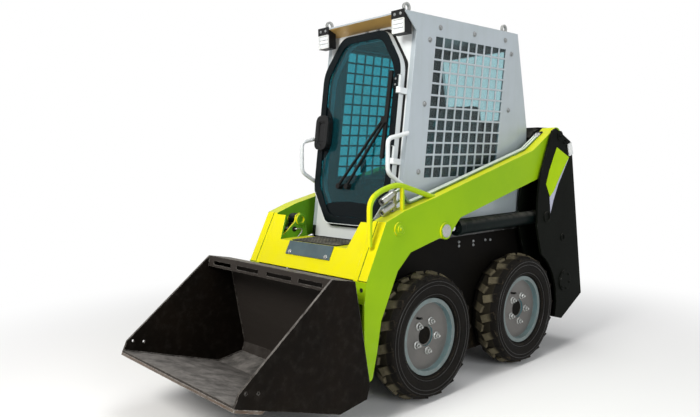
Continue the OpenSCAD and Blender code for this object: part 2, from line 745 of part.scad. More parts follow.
// Lifting eyes on the roof
eye_d = cab_wall * 1.8;
eye_hole_d = cab_wall * 1.04;
eye_t = cab_wall * 0.48;
eye_y = cab_in_y - eye_t;
eye_x_shares = [0.104, 0.838];
module lifting_eyes() {
    color([0.5, 0.5, 0.48]) place() both_sides()
        for (s = eye_x_shares) {
            at = [cab_x - s * cab_len, roof_z + eye_d * 0.5];
            slab(eye_y - eye_t / 2, eye_y + eye_t / 2) difference() {
                union() {
                    translate(at) circle(d = eye_d);
                    translate([at[0] - eye_d / 4, roof_z]) square([eye_d / 2, eye_d / 4]);
                }
                translate(at) circle(d = eye_hole_d);
            }
        }
}

// Grab handles on the front posts
handle_d = cab_wall * 0.8;
handle_y = cab_y;
handle_shares = [[0.254, -0.1], [0.301, 0.85], [0.443, 1], [0.489, -0.1]];
handle_out = cab_wall * 4.9;
handle_bend = handle_out * 0.22;
function handle_point(s, side) = [side * handle_y, s[0] * cab_h, s[1] * handle_out];
module cab_handles() {
    color([0.86, 0.86, 0.85]) place() on_front() difference() {
        for (side = [-1, 1])
            pipe(rounded([for (s = handle_shares) handle_point(s, side)], handle_bend),
                handle_d, [1, 0, 0]);
        translate([-2 * handle_y, 0, -handle_out]) cube([4 * handle_y, cab_h, handle_out]);
    }
}

// Operator's seat on its base
seat_w = 2 * (cab_in_y - console_w - seat_gap);
seat_l = cab_len * 0.405;
seat_x = seat_box_x - seat_l * 0.86;
seat_base_h = cab_h * 0.065;
cushion_t = cab_h * 0.097;
cushion_top = chassis_top + seat_base_h + cushion_t;
back_t = seat_l * 0.22;
back_h = cab_h * 0.526;
back_lean = 9;
module seat_base() {
    color([0.1, 0.1, 0.1]) place() box(seat_x, seat_x + seat_l * 0.92,
        -seat_w * 0.42, seat_w * 0.42, chassis_top, chassis_top + seat_base_h);
}
module seat() {
    color([0.07, 0.07, 0.08]) place() {
        box(seat_x, seat_x + seat_l, -seat_w / 2, seat_w / 2,
            chassis_top + seat_base_h, cushion_top);
        translate([seat_x, -seat_w / 2, cushion_top]) rotate([0, -back_lean, 0])
            translate([0, 0, -cushion_t * 0.3]) cube([back_t, seat_w, back_h]);
    }
}

// Arm rests with a control lever on each
console_h = console_w * 1.1;
console_z = cushion_top + console_h * 0.4;
console_x0 = seat_x + seat_l * 0.2;
console_x1 = seat_x + seat_l * 1.1;
lever_d = console_w * 0.32;
lever_h = console_w * 2.2;
lever_x = console_x1 - console_w * 0.7;
lever_y = cab_in_y - console_w / 2;
module consoles() {
    color([0.14, 0.14, 0.15]) place() both_sides()
        box(console_x0, console_x1, cab_in_y - console_w, cab_in_y,
            console_z, console_z + console_h);
}
module levers() {
    color([0.06, 0.06, 0.06]) place() both_sides()
        translate([lever_x, lever_y, console_z + console_h]) {
            cylinder(h = lever_h, d = lever_d);
            translate([0, 0, lever_h * 0.55]) cylinder(h = lever_h * 0.6, d = lever_d * 1.9);
        }
}

// Front door, its glass and fittings
glass_in_d = door_in_d + door_t * 0.55;
glass_out_d = glass_in_d + glass_t;
module door_knuckle(h) {
    difference() {
        union() {
            translate([hinge_y, h + fit, hinge_d]) rotate([-90, 0, 0])
                cylinder(h = knuckle_h - fit, d = knuckle_d);
            translate([hinge_y - door_border, h + fit, door_out_d])
                cube([door_border, knuckle_h - fit, hinge_d - door_out_d]);
        }
        translate([hinge_y, h - overrun, hinge_d]) rotate([-90, 0, 0])
            cylinder(h = knuckle_h + 2 * overrun, d = hinge_pin_d + 2 * fit);
    }
}
module door_frame() {
    color([0.08, 0.08, 0.08]) place() on_front() {
        raised(door_in_d, door_out_d) difference() {
            door_outline(0);
            door_outline(door_border);
        }
        for (h = hinge_heights) door_knuckle(h);
    }
}
module door_glass() {
    color([0.1, 0.25, 0.27]) place() on_front()
        raised(glass_in_d, glass_out_d) door_outline(door_border + fit);
}
latch_w = door_w * 0.176;
latch_h = door_h * 0.19;
latch_at = [door_mid_y - door_w / 2 + latch_w * 0.56, door_foot + door_h * 0.486];
latch_t = door_t * 0.8;
module door_latch() {
    color([0.07, 0.07, 0.07]) place() on_front() raised(door_out_d, door_out_d + latch_t)
        translate(latch_at) polygon(rounded_loop([
            [latch_w / 2, -latch_h / 2], [latch_w / 2, latch_h / 2],
            [-latch_w / 2, latch_h / 2], [-latch_w / 2, -latch_h / 2]], latch_w * 0.48));
}

// Wiper with two parallel arms
wiper_at = [door_mid_y - door_w * 0.075, door_foot + door_h * 0.2];
wiper_elbow = [door_mid_y + door_w * 0.385, door_foot + door_h * 0.535];
blade_low = [door_mid_y + door_w * 0.375, door_foot + door_h * 0.345];
blade_high = [door_mid_y + door_w * 0.4, door_foot + door_h * 0.78];
wiper_bar = door_t * 0.32;
wiper_pivot_d = door_t * 0.9;
wiper_pivot_gap = door_w * 0.054;
wiper_d = door_out_d + door_t * 0.3;
module bar(a, b, w, d0, d1) {
    n = left_of(unit(b - a)) * w / 2;
    raised(d0, d1) polygon([a + n, a - n, b - n, b + n]);
}
module wiper() {
    color([0.05, 0.05, 0.05]) place() on_front() {
        for (side = [-1, 1]) {
            at = wiper_at + [side * wiper_pivot_gap, 0];
            raised(glass_out_d, wiper_d + wiper_bar) translate(at) circle(d = wiper_pivot_d);
            bar(at, wiper_elbow + [side * wiper_bar, 0], wiper_bar, wiper_d, wiper_d + wiper_bar);
        }
        bar(wiper_elbow - [2 * wiper_bar, 0], wiper_elbow + [2 * wiper_bar, 0],
            3 * wiper_bar, wiper_d, wiper_d + wiper_bar);
        bar(blade_low, blade_high, 2 * wiper_bar, glass_out_d + wiper_bar / 2, wiper_d);
    }
}

// Lift arm outline, as shares of the way from the pivot to the bucket pin
arm_shares = [
    [0.007, 1.047], [0.161, 0.921], [0.717, 0.709], [0.846, 0.665], [0.924, 0.625],
    [1.005, 0.391], [1.014, 0.299], [1.017, 0.002], [0.984, -0.01], [0.966, 0.088],
    [0.948, 0.218], [0.879, 0.411], [0.822, 0.484], [0.69, 0.527], [0.645, 0.526],
    [0.586, 0.609], [0.117, 0.774], [-0.015, 0.957]];
lift_pin_share = [0.662, 0.557];
tilt_pin_share = [0.872, 0.591];
arm_outline = [for (s = arm_shares) arm_point(s)];
lift_pin = arm_point(lift_pin_share);
tilt_pin = arm_point(tilt_pin_share);
bucket_pin = [pin_x, pin_z];
arm_eye_d = pivot_pin_d * 1.9;
arm_tip_d = pin_d * 1.8;
boss_d = lift_rod_d * 2.1;
boss_t = arm_plate_t * 0.6;
tilt_pin_d = tilt_rod_d * 1.1;
arm_top_line = [for (i = [0 : 6]) arm_outline[i]];
arm_low_line = [for (i = [15 : 17]) arm_outline[i]];
arm_leg_line = [for (i = [10 : 13]) arm_outline[i]];
bracket_t = plate_t * 1.2;
tilt_y = arm_in_y - tilt_barrel_d * 0.5 - tilt_barrel_d * 0.35;
bracket_y = tilt_y - tilt_barrel_d * 0.5 - tilt_barrel_d * 0.2;
module arm_side(y0, y1) {
    slab(y0, y1) union() {
        polygon(arm_outline);
        translate([pivot_x, pivot_z]) circle(d = arm_eye_d);
        translate(bucket_pin) circle(d = arm_tip_d);
        translate(lift_pin) circle(d = boss_d);
    }
}
module arm() {
    difference() {
        union() {
            arm_side(arm_in_y, arm_in_y + arm_plate_t);
            arm_side(arm_out_y - arm_plate_t, arm_out_y);
            slab(arm_in_y, arm_out_y) {
                polygon(strip(arm_top_line, -arm_plate_t));
                polygon(strip(arm_low_line, -arm_plate_t));
                polygon(strip(arm_leg_line, -arm_plate_t));
            }
            across([pivot_x, pivot_z], arm_in_y, arm_out_y, arm_eye_d);
            across(lift_pin, arm_out_y, arm_out_y + boss_t, boss_d);
            across(tilt_pin, arm_out_y, arm_out_y + boss_t, boss_d * 0.8);
            across(tilt_pin, bracket_y + bracket_t, arm_in_y, tilt_pin_d);
            across(bucket_pin, arm_in_y, arm_out_y, pin_d);
        }
        bore([pivot_x, pivot_z], arm_in_y, arm_out_y, pivot_pin_d + 2 * fit);
    }
}
module arms() {
    color([0.62, 0.75, 0.05]) place() both_sides() arm();
}

// Cross member between the arms, with its step and the tilt cylinder brackets
apron_low = arm_outline[5];
apron_high = arm_outline[4];
apron_len = norm(apron_high - apron_low);
apron_lean = atan2(apron_low[0] - apron_high[0], apron_high[1] - apron_low[1]);
apron_t = arm_plate_t * 0.8;
notch_share = 0.49;
notch_y_shares = [0.7, 0.79];
step_z = apron_low[1] + apron_len * notch_share * cos(apron_lean);
step_rear_x = nose_x + 1.4 * swing_gap + (pivot_z - step_z) * tan(lower_angle);
step_front_x = apron_low[0] - apron_len * notch_share * sin(apron_lean) - apron_t;
lip_back = apron_len * 0.15;
bracket_r = tilt_pin_d * 1.05;
module on_apron() {
    translate([apron_low[0], 0, apron_low[1]]) rotate([0, -apron_lean, 0])
        rotate([90, 0, 90]) children();
}
module bracket() {
    r = bracket_r;
    polygon([
        [step_rear_x, step_z - apron_t], [step_front_x, step_z - apron_t],
        [step_front_x, step_z], tilt_pin + [r, -r * 0.3], tilt_pin + [r * 0.75, r * 0.7],
        tilt_pin + [0, r], tilt_pin + [-r * 0.75, r * 0.7], tilt_pin + [-r, -r * 0.3],
        [step_rear_x, step_z]]);
}
module cross_member() {
    color([0.8, 0.78, 0.08]) place() {
        on_apron() raised(-apron_t, 0) polygon([
            [-arm_in_y, 0], [arm_in_y, 0], [arm_in_y, apron_len * 0.97],
            [arm_in_y * notch_y_shares[1], apron_len * 0.97],
            [arm_in_y * notch_y_shares[0], apron_len * notch_share],
            [-arm_in_y * notch_y_shares[0], apron_len * notch_share],
            [-arm_in_y * notch_y_shares[1], apron_len * 0.97], [-arm_in_y, apron_len * 0.97]]);
        box(apron_low[0] - lip_back, apron_low[0] - apron_t / 2, -arm_in_y, arm_in_y,
            apron_low[1], apron_low[1] + apron_t);
        box(step_rear_x, step_front_x + apron_t / 2, -bracket_y, bracket_y,
            step_z - apron_t, step_z);
        both_sides() slab(bracket_y, bracket_y + bracket_t) bracket();
    }
}
step_y = arm_in_y * 0.46;
module step_plate() {
    color([0.3, 0.31, 0.32]) place() on_apron() raised(0, apron_t * 0.5)
        translate([-step_y, apron_len * 0.24])
            square([2 * step_y, apron_len * (notch_share - 0.24)]);
}
module step_tread() {
    color([0.06, 0.06, 0.06]) place() box(step_rear_x + apron_t, step_front_x,
        -step_y, step_y, step_z, step_z + apron_t * 0.6);
}

// Guard rail over the quick couplers on the left arm
rail_y = arm_mid_y + rail_d * 0.4;
rail_shares = [
    [0.972, 0.528], [0.97, 0.717], [0.928, 0.755], [0.855, 0.779], [0.69, 0.71]];
rail_line = [for (s = rail_shares) let (p = arm_point(s)) [p[0], rail_y, p[1]]];
post_x = pivot_x + reach * 0.836;
rail_bend = reach * 0.028;
function arm_top_z(x) = arm_outline[2][1]
    + (x - arm_outline[2][0]) * (arm_outline[3][1] - arm_outline[2][1])
    / (arm_outline[3][0] - arm_outline[2][0]);
function rail_z(x) = rail_line[4][2]
    + (x - rail_line[4][0]) * (rail_line[3][2] - rail_line[4][2])
    / (rail_line[3][0] - rail_line[4][0]);
module guard_rail() {
    color([0.75, 0.78, 0.1]) place() difference() {
        union() {
            pipe(rounded(rail_line, rail_bend), rail_d, [0, 1, 0]);
            pipe([[post_x, rail_y, arm_top_z(post_x) - rail_d],
                [post_x, rail_y, rail_z(post_x)]], rail_d * 0.9, [0, 1, 0]);
        }
        slab(arm_in_y, arm_out_y) polygon(concat(
            arm_top_line, [arm_point([0.9, 0.3]), arm_point([0.5, 0.5])]));
    }
}

// Quick couplers on a bracket behind the guard rail
coupler_l = coupler_d * 2.2;
coupler_tilt = 25;
coupler_y = arm_in_y + arm_plate_t + coupler_d * 0.1;
coupler_gap = coupler_d * 1.35;
coupler_x = post_x + rail_d;
coupler_low_z = arm_top_z(coupler_x) + coupler_d * 0.75;
coupler_stand_t = coupler_d * 0.3;
coupler_out = [cos(coupler_tilt), 0, -sin(coupler_tilt)];
coupler_nip = coupler_d * 0.62;
coupler_nip_d = coupler_d * 0.56;
module coupler(z) {
    translate([coupler_x, coupler_y, z]) rotate([0, 90 + coupler_tilt, 0]) difference() {
        union() {
            cylinder(h = coupler_l, d = coupler_d);
            translate([0, 0, -coupler_nip]) cylinder(h = coupler_nip, d = coupler_nip_d);
        }
        translate([0, 0, coupler_l * 0.6]) cylinder(h = coupler_l, d = coupler_bore_d);
    }
}
module couplers() {
    color([0.55, 0.55, 0.53]) place() {
        coupler(coupler_low_z);
        coupler(coupler_low_z + coupler_gap);
        slab(coupler_y - coupler_d * 0.4, coupler_y + coupler_d * 0.4) polygon([
            [coupler_x - coupler_stand_t, arm_top_z(coupler_x - coupler_stand_t)],
            [coupler_x + coupler_stand_t, arm_top_z(coupler_x + coupler_stand_t)],
            [coupler_x + coupler_stand_t, coupler_low_z + coupler_gap + coupler_d * 0.4],
            [coupler_x - coupler_stand_t, coupler_low_z + coupler_gap + coupler_d * 0.4]]);
    }
}

// Hydraulic lines along the top of the left arm, on clamps, led up to the couplers
line_d = coupler_d * 0.4;
line_lift = line_d * 0.62;
line_shares = [[0.075, 0.9905], [0.161, 0.921], [0.717, 0.709], [0.79, 0.6842]];
line_ys = [arm_in_y + line_d * 0.72, arm_in_y + line_d * 1.86];
line_bend = reach * 0.012;
clamp_l = line_d * 1.6;
clamp_h = line_lift + line_d * 0.3;
clamp_shares = [0.1, 0.36, 0.62, 0.92];
line_lead = coupler_d * 0.9;
line_arm = [for (s = line_shares) arm_point(s)];
module line_clamp(s) {
    foot = line_arm[1] + (line_arm[2] - line_arm[1]) * s;
    side = unit(line_arm[2] - line_arm[1]);
    up = left_of(side);
    slab(line_ys[0] - line_d * 0.6, line_ys[1] + line_d * 0.6) polygon([
        foot, foot + side * clamp_l, foot + side * clamp_l + up * clamp_h, foot + up * clamp_h]);
}
module hydraulic_lines() {
    path = beside(line_arm, line_lift);
    color([0.16, 0.17, 0.14]) place() {
        for (k = [0, 1]) {
            low = [for (p = path) [p[0], line_ys[k], p[1]]];
            port = [coupler_x, coupler_y, coupler_low_z + k * coupler_gap];
            end = port - coupler_out * coupler_nip;
            pipe(rounded(concat(low, [end - coupler_out * line_lead, end]), line_bend),
                line_d, [0, 1, 0]);
        }
        for (s = clamp_shares) line_clamp(s);
    }
}

// Hydraulic cylinders, drawn from the base eye along z
module cylinder_at(a, b, y) {
    d = b - a;
    translate([a[0], y, a[1]]) rotate([0, atan2(d[0], d[1]), 0]) children();
}
module eye(d, w, hole_d, z) {
    translate([0, -w / 2, z]) rotate([-90, 0, 0]) difference() {
        cylinder(h = w, d = d);
        translate([0, 0, -overrun]) cylinder(h = w + 2 * overrun, d = hole_d);
    }
}
module barrel(l, d, rod_d, eye_d, eye_w, hole_d, start) {
    difference() {
        union() {
            translate([0, 0, start]) cylinder(h = l - start, d = d);
            translate([0, 0, l - d * 0.5]) cylinder(h = d * 0.5, d = d * 1.08);
            translate([-d * 0.3, -eye_w / 2, 0]) cube([d * 0.6, eye_w, start + d * 0.2]);
            eye(eye_d, eye_w, hole_d, 0);
        }
        translate([0, -d, 0]) rotate([-90, 0, 0]) cylinder(h = 2 * d, d = hole_d);
        translate([0, 0, start + d * 0.35])
            cylinder(h = l, d = rod_d + 2 * fit);
    }
}
module rod(l, d, eye_d, eye_w, from) {
    translate([0, 0, from]) cylinder(h = l - from, d = d);
    translate([0, -eye_w / 2, l]) rotate([-90, 0, 0]) cylinder(h = eye_w, d = eye_d);
}
lift_len = norm(lift_pin - lift_base);
lift_barrel_l = lift_len * 0.85;
lift_eye_d = lift_base_pin_d * 1.8;
lift_eye_w = arm_w - 2 * arm_plate_t - 2 * fit * swing_gap;
lift_start = lift_eye_d * 0.45;
feed_d = lift_barrel_d * 0.15;
feed_turn = 38;
feed_shares = [0.22, 0.93];
module feed_line() {
    at = (lift_barrel_d + feed_d) / 2 + fit;
    port = feed_d * 1.7;
    rotate([0, 0, 90 + feed_turn]) {
        translate([0, at, lift_barrel_l * feed_shares[0]])
            cylinder(h = lift_barrel_l * (feed_shares[1] - feed_shares[0]), d = feed_d);
        for (s = feed_shares)
            translate([-port / 2, lift_barrel_d * 0.4, lift_barrel_l * s - port / 2])
                cube([port, at - lift_barrel_d * 0.4 + port / 2, port]);
    }
}
module lift_barrels() {
    color([0.12, 0.15, 0.16]) place() both_sides()
        cylinder_at(lift_base, lift_pin, arm_mid_y) {
            barrel(lift_barrel_l, lift_barrel_d, lift_rod_d, lift_eye_d, lift_eye_w,
                lift_base_pin_d + 2 * fit, lift_start);
            feed_line();
        }
}
module lift_rods() {
    color([0.7, 0.7, 0.7]) place() both_sides() cylinder_at(lift_base, lift_pin, arm_mid_y)
        rod(lift_len, lift_rod_d, lift_rod_d * 1.6, lift_eye_w, lift_len * 0.16);
}

// Bucket outline about its pin, level, as shares of its depth and height
bucket_low = -bucket_pin_h;
bucket_shares = [
    [0.233, 0], [0.031, 0.128], [0.026, 0.235], [0.346, 1], [0.529, 0.973], [0.992, 0.1]];
bucket_floor_z = bucket_low + edge_t;
bucket_shell_h = bucket_h - edge_t;
function bucket_point(s) = [s[0] * bucket_depth, bucket_floor_z + s[1] * bucket_shell_h];
bucket_lip = [bucket_depth, bucket_floor_z];
bucket_outline = concat([bucket_lip], [for (s = bucket_shares) bucket_point(s)]);
bucket_sheet = [for (i = [0 : 5]) bucket_outline[i]];
bucket_y = bucket_w / 2;
back_foot = bucket_outline[3];
back_line = unit(bucket_outline[4] - back_foot);
back_len = norm(bucket_outline[4] - back_foot);
back_out = left_of(back_line);
bucket_rail = bucket_h * 0.096;
bucket_top = bucket_outline[5];
bucket_top_line = unit(bucket_top - bucket_outline[4]);
lip_slot_shares = [[0.07, 0.45], [0.55, 0.88]];
lip_height_shares = [0.45, 0.78];
function lip_point(back, down) =
    bucket_top - bucket_top_line * back - left_of(bucket_top_line) * down;
module bucket_lip_slots() {
    low = lip_height_shares[0] * bucket_rail;
    high = lip_height_shares[1] * bucket_rail;
    for (s = lip_slot_shares)
        both_sides() slab(s[0] * bucket_y, s[1] * bucket_y) polygon([
            lip_point(-bucket_t, low), lip_point(2 * bucket_t, low),
            lip_point(2 * bucket_t, high), lip_point(-bucket_t, high)]);
}
side_hole_d = edge_t;
side_hole_shares = [[0.95, 0.107], [0.871, 0.113]];
module bucket() {
    color([0.08, 0.08, 0.08]) place() in_bucket() {
        slab(-bucket_y, bucket_y) polygon(strip(bucket_sheet, -bucket_t));
        both_sides() slab(bucket_y - bucket_side_t, bucket_y) difference() {
            polygon(bucket_outline);
            for (s = side_hole_shares) translate(bucket_point(s)) circle(d = side_hole_d);
        }
        difference() {
            slab(-bucket_y, bucket_y) polygon([
                lip_point(0, 0), lip_point(0, bucket_rail), lip_point(bucket_rail, bucket_rail),
                lip_point(bucket_rail, bucket_rail - bucket_t),
                lip_point(bucket_t, bucket_rail - bucket_t), lip_point(bucket_t, 0)]);
            bucket_lip_slots();
        }
    }
}
module cutting_edge() {
    color([0.25, 0.22, 0.2]) place() in_bucket() slab(-bucket_y, bucket_y) polygon([
        [bucket_depth, bucket_low], [bucket_depth, bucket_floor_z],
        [bucket_depth - edge_len, bucket_floor_z],
        [bucket_depth - edge_len + edge_t, bucket_low]]);
}

// Quick attach frame between the arms and the bucket
rod_pin_share = 0.4;
rod_pin_back = tilt_rod_d * 2.36;
rod_pin = back_foot + back_line * back_len * rod_pin_share + back_out * rod_pin_back;
attach_t = arm_plate_t;
attach_y = arm_in_y - swing_gap;
tilt_eye_w = tilt_barrel_d * 0.9;
ear_t = bracket_t;
pin_ear_d = pin_d * 2;
pin_ear_y0 = arm_in_y + arm_plate_t + swing_gap * 0.5;
pin_ear_y1 = arm_out_y - arm_plate_t - swing_gap * 0.5;
rod_ear_d = tilt_rod_d * 1.7;
rod_ear_gap = swing_gap * 0.6;
arm_ear_s = arm_tip_d * 2;
function on_back(s, d) = back_foot + back_line * s + back_out * d;
module attach_ear(at, d) {
    s = (at - back_foot) * back_line;
    union() {
        translate(at) circle(d = d);
        polygon([
            on_back(s - d * 0.7, 0), on_back(s + d * 0.7, 0),
            at + back_line * d * 0.45, at - back_line * d * 0.45]);
    }
}
module attach_plate(s0) {
    polygon([
        on_back(s0, 0), on_back(back_len * 0.78, 0), on_back(back_len * 0.78, attach_t),
        on_back(s0, attach_t)]);
}
module rod_window() {
    top = (rod_pin - back_foot) * back_line + rod_ear_d * 0.3;
    polygon([
        on_back(-overrun, -overrun), on_back(top, -overrun), on_back(top, attach_t + overrun),
        on_back(-overrun, attach_t + overrun)]);
}
module pin_ear() {
    r = pin_ear_d / 2;
    top = arm_ear_s + pin_ear_d * 0.6;
    union() {
        circle(d = pin_ear_d);
        polygon([
            -back_out * r, on_back(top, 0), on_back(top, attach_t * 2), back_out * r]);
    }
}
module quick_attach() {
    color([0.1, 0.1, 0.1]) place() in_bucket() {
        difference() {
            union() {
                slab(-attach_y, attach_y) attach_plate(0);
                slab(-pin_ear_y1, pin_ear_y1) attach_plate(arm_ear_s);
            }
            both_sides() slab(tilt_y - tilt_eye_w / 2 - rod_ear_gap, tilt_y + tilt_eye_w / 2 + rod_ear_gap)
                rod_window();
        }
        both_sides() {
            difference() {
                slab(pin_ear_y0, pin_ear_y1) pin_ear();
                bore([0, 0], pin_ear_y0, pin_ear_y1, pin_d + 2 * fit);
            }
            for (y = [tilt_y - tilt_eye_w / 2 - rod_ear_gap - ear_t,
                    tilt_y + tilt_eye_w / 2 + rod_ear_gap])
                slab(y, y + ear_t) attach_ear(rod_pin, rod_ear_d);
        }
    }
}

// Tilt cylinders between the brackets and the quick attach frame
rod_pin_at = bucket_pin + turned(rod_pin, rollback);
tilt_len = norm(rod_pin_at - tilt_pin);
tilt_barrel_l = tilt_len * 0.86;
tilt_base_d = tilt_pin_d * 1.9;
tilt_start = tilt_base_d * 0.45;
module tilt_barrels() {
    color([0.1, 0.1, 0.1]) place() both_sides() cylinder_at(tilt_pin, rod_pin_at, tilt_y)
        barrel(tilt_barrel_l, tilt_barrel_d, tilt_rod_d, tilt_base_d, tilt_eye_w,
            tilt_pin_d + 2 * fit, tilt_start);
}
module tilt_rods() {
    color([0.7, 0.7, 0.7]) place() both_sides() cylinder_at(tilt_pin, rod_pin_at, tilt_y)
        rod(tilt_len, tilt_rod_d, tilt_rod_d * 1.6, tilt_eye_w,
            tilt_start + tilt_barrel_d * 0.5);
}

chassis();
axles();
towers();
engine();
hood();
tail_lamps();
rear_door();
cab_sides();
side_glass();
cab_front();
cab_roof();
cab_rear();
rear_glass();
work_lamps();
lifting_eyes();
cab_handles();
seat_base();
seat();
consoles();
levers();
door_frame();
door_glass();
door_latch();
wiper();
arms();
cross_member();
step_plate();
step_tread();
guard_rail();
couplers();
hydraulic_lines();
lift_barrels();
lift_rods();
tilt_barrels();
tilt_rods();
quick_attach();
bucket();
cutting_edge();
tyre_front_left();
rim_front_left();
tyre_front_right();
rim_front_right();
tyre_rear_left();
rim_rear_left();
tyre_rear_right();
rim_rear_right();
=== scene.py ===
"""Looks of a skid steer loader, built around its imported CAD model."""

import random
from math import cos, exp, pi, radians, sin, sqrt, tan

import bmesh
import bpy
from mathutils import Matrix, Vector


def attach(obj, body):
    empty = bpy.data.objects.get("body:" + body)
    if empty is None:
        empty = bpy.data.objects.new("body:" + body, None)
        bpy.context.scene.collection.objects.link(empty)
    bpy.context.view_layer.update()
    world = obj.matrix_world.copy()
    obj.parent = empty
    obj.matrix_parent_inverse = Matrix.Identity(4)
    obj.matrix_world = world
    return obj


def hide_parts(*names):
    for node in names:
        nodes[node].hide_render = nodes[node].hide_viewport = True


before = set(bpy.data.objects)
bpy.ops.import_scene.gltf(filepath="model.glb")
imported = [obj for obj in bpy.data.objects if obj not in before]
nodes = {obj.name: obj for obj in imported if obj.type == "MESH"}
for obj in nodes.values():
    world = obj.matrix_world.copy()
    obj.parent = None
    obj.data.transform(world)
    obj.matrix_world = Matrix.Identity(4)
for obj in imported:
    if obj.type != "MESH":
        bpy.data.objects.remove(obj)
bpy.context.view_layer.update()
scene = bpy.context.scene
scene.view_settings.view_transform = "Standard"

# The camera that was fitted to the photograph
IMAGE_W = 700
SENSOR_MM = 36.0
FOCAL_PX = 636.54
CAMERA_AT = Vector((2.28316, 2.2308, 1.0862))
CAMERA_YAW, CAMERA_PITCH, CAMERA_ROLL = -132.554, -4.451, -0.717

# Places and sizes in metres and angles in radians, repeated from the part's source
MID_X = 0.225641
CAB_X, CAB_Y, CAB_LEAN, ROOF_Z = 0.452, 0.3, radians(8.1), 1.7379
CHASSIS_Y, CHASSIS_TOP = 0.285, 0.7
DOOR_MID_Y, DOOR_W, DOOR_H, DOOR_FOOT = -0.01, 0.534, 0.922, 0.0675
DOOR_OUT, DOOR_BORDER, GLASS_OUT = 0.035, 0.038, 0.0275
DOOR_CUTS = ((0.22, 0.185), (0.21, 0.175))
LATCH_AT, LATCH_W, LATCH_H, LATCH_T = (-0.2244, 0.5156), 0.094, 0.1752, 0.024
HINGE_Y, HINGE_D, HINGE_HEIGHTS, KNUCKLE_H = 0.262, 0.045, (0.3856, 0.7055), 0.0525
LAMP_X, LAMP_Y, LAMP_TOP, LAMP_H, LAMP_W, LAMP_LIP = 0.3887, 0.2556, 1.7136, 0.074, 0.0777, 0.0059
AXLE_X, AXLE_Z, TYRE_MID_Y, DISC_Y = 0.368, 0.292, 0.3675, 0.023
STUDS, STUD_R, STUD_TURN = 5, 0.07, radians(26)
TOWER_OUT_Y, CAP_T, COVER_AT = 0.437, 0.006, (-0.7673, 0.3913)
LIFT_BASE, PIVOT = (-0.574, 0.7617), (-0.7, 1.197)
LIFT_PIN, TILT_PIN, ROD_PIN = (0.2599, 0.7567), (0.5644, 0.7905), (0.7402, 0.3646)
ARM_OUT_Y, BOSS_T, BRACKET_Y = 0.415, 0.0072, 0.2533
APRON_LOW, APRON_LEN, APRON_LEAN, APRON_T = (0.75725, 0.59165), 0.26057, radians(26.79), 0.0096
LINE_END, LINE_RISE, LINE_YS = (-0.5872, 1.1949), radians(29), (0.3468, 0.3623)
STEP_Z, STEP_X0, STEP_X1, STEP_Y = 0.7114, 0.5295, 0.6901, 0.155
TILT_Y, TILT_BARREL_L, TILT_BARREL_D = 0.2911, 0.3962, 0.054
BUCKET_AT, ROLLBACK = (0.75, 0.203), radians(18)
BUCKET_Y, BUCKET_SIDE_T, BUCKET_T = 0.45, 0.01, 0.008
BUCKET_SHEET = ((0.643, -0.149), (0.1498, -0.149), (0.0199, -0.084), (0.0167, -0.0296),
                (0.2225, 0.359), (0.3401, 0.3453))
REAR_AT, REAR_LEAN = (-0.96, 0.292), radians(8.8)
TAIL_AT, TAIL_Y, TAIL_LEAN = (-0.8164, 1.1629), 0.376, radians(16.3)
TAIL_W, TAIL_H, TAIL_T = 0.078, 0.0676, 0.0203
SEAT_X, SEAT_L, SEAT_W, SEAT_FOOT, CUSHION_TOP = -0.2967, 0.42, 0.42, 0.7675, 0.8681
BACK_T, BACK_H, BACK_LEAN = 0.0924, 0.5459, radians(9)
LEVER_X, LEVER_Y, CONSOLE_TOP = 0.1289, 0.249, 0.9482

# Places of trim that only this script makes
GRILLE_BOLTS_AT = ((0.15, 1.69), (-0.111, 1.691), (-0.376, 1.692), (0.226, 1.626), (-0.433, 1.627),
                   (0.266, 1.333), (-0.406, 1.332), (0.311, 1.024), (-0.39, 1.024))
CHASSIS_BOLTS_AT = ((-0.008, 0.649), (-0.008, 0.669), (-0.125, 0.643), (-0.125, 0.662),
                    (-0.228, 0.659), (-0.272, 0.655))
FLASH = ((-0.668, 1.136), (-0.8, 1.081), (-0.7, 0.972), (-0.642, 0.9), (-0.602, 0.87),
         (-0.562, 0.938), (-0.592, 1.01), (-0.628, 1.072))
STRIPE = ((-0.798, 1.078), (-0.782, 1.056), (-0.688, 0.935), (-0.64, 0.852), (-0.609, 0.78),
          (-0.598, 0.868), (-0.642, 0.898), (-0.7, 0.97))
LOW_RING_AT = (-0.742, 0.638)
SIDEWALL_RIBS = ((0.2335, 0.0725), (0.25, 0.0722), (0.1925, 0.066))
VALVE_AT = (0.058, 0.09)
FRONT_SEAM_Y, STEP_BOLT_Y, STEP_BOLT_SHARE = 0.3645, 0.128, 0.285
LEG_HOLE, LEG_LEAN = (0.7623, 0.3898, 0.556), radians(8.1)
CLIP = ((0.603, 0.003, 0.746), (0.598, 0.012, 0.747), (0.575, 0.014, 0.746), (0.567, 0.014, 0.739),
        (0.571, 0.013, 0.725), (0.59, 0.01, 0.7075))

# Bolt heads, across their flats and high
WHEEL_NUT, GRILLE_BOLT, CHASSIS_BOLT = (0.024, 0.016), (0.017, 0.008), (0.01, 0.005)
LAMP_BOLT, BROW_BOLT, HINGE_BOLT = (0.009, 0.004), (0.013, 0.012), (0.009, 0.005)
COVER_BOLT, PIN_BOLT, CAP_BOLT, STEP_BOLT = (0.01, 0.004), (0.012, 0.006), (0.011, 0.006), (0.014, 0.006)

# How deep a piece of trim sits in what carries it
SINK = 0.001
SIDES = (1, -1)


def spot(x, y, z):
    """A point of the machine's own axes, in the model's frame."""
    return Vector((x - MID_X, y, z))


def front(y, h, d):
    """A point by the leaning cab front: across, up along it, and out of it."""
    return spot(
        CAB_X - h * sin(CAB_LEAN) + d * cos(CAB_LEAN), y,
        CHASSIS_TOP + h * cos(CAB_LEAN) + d * sin(CAB_LEAN))


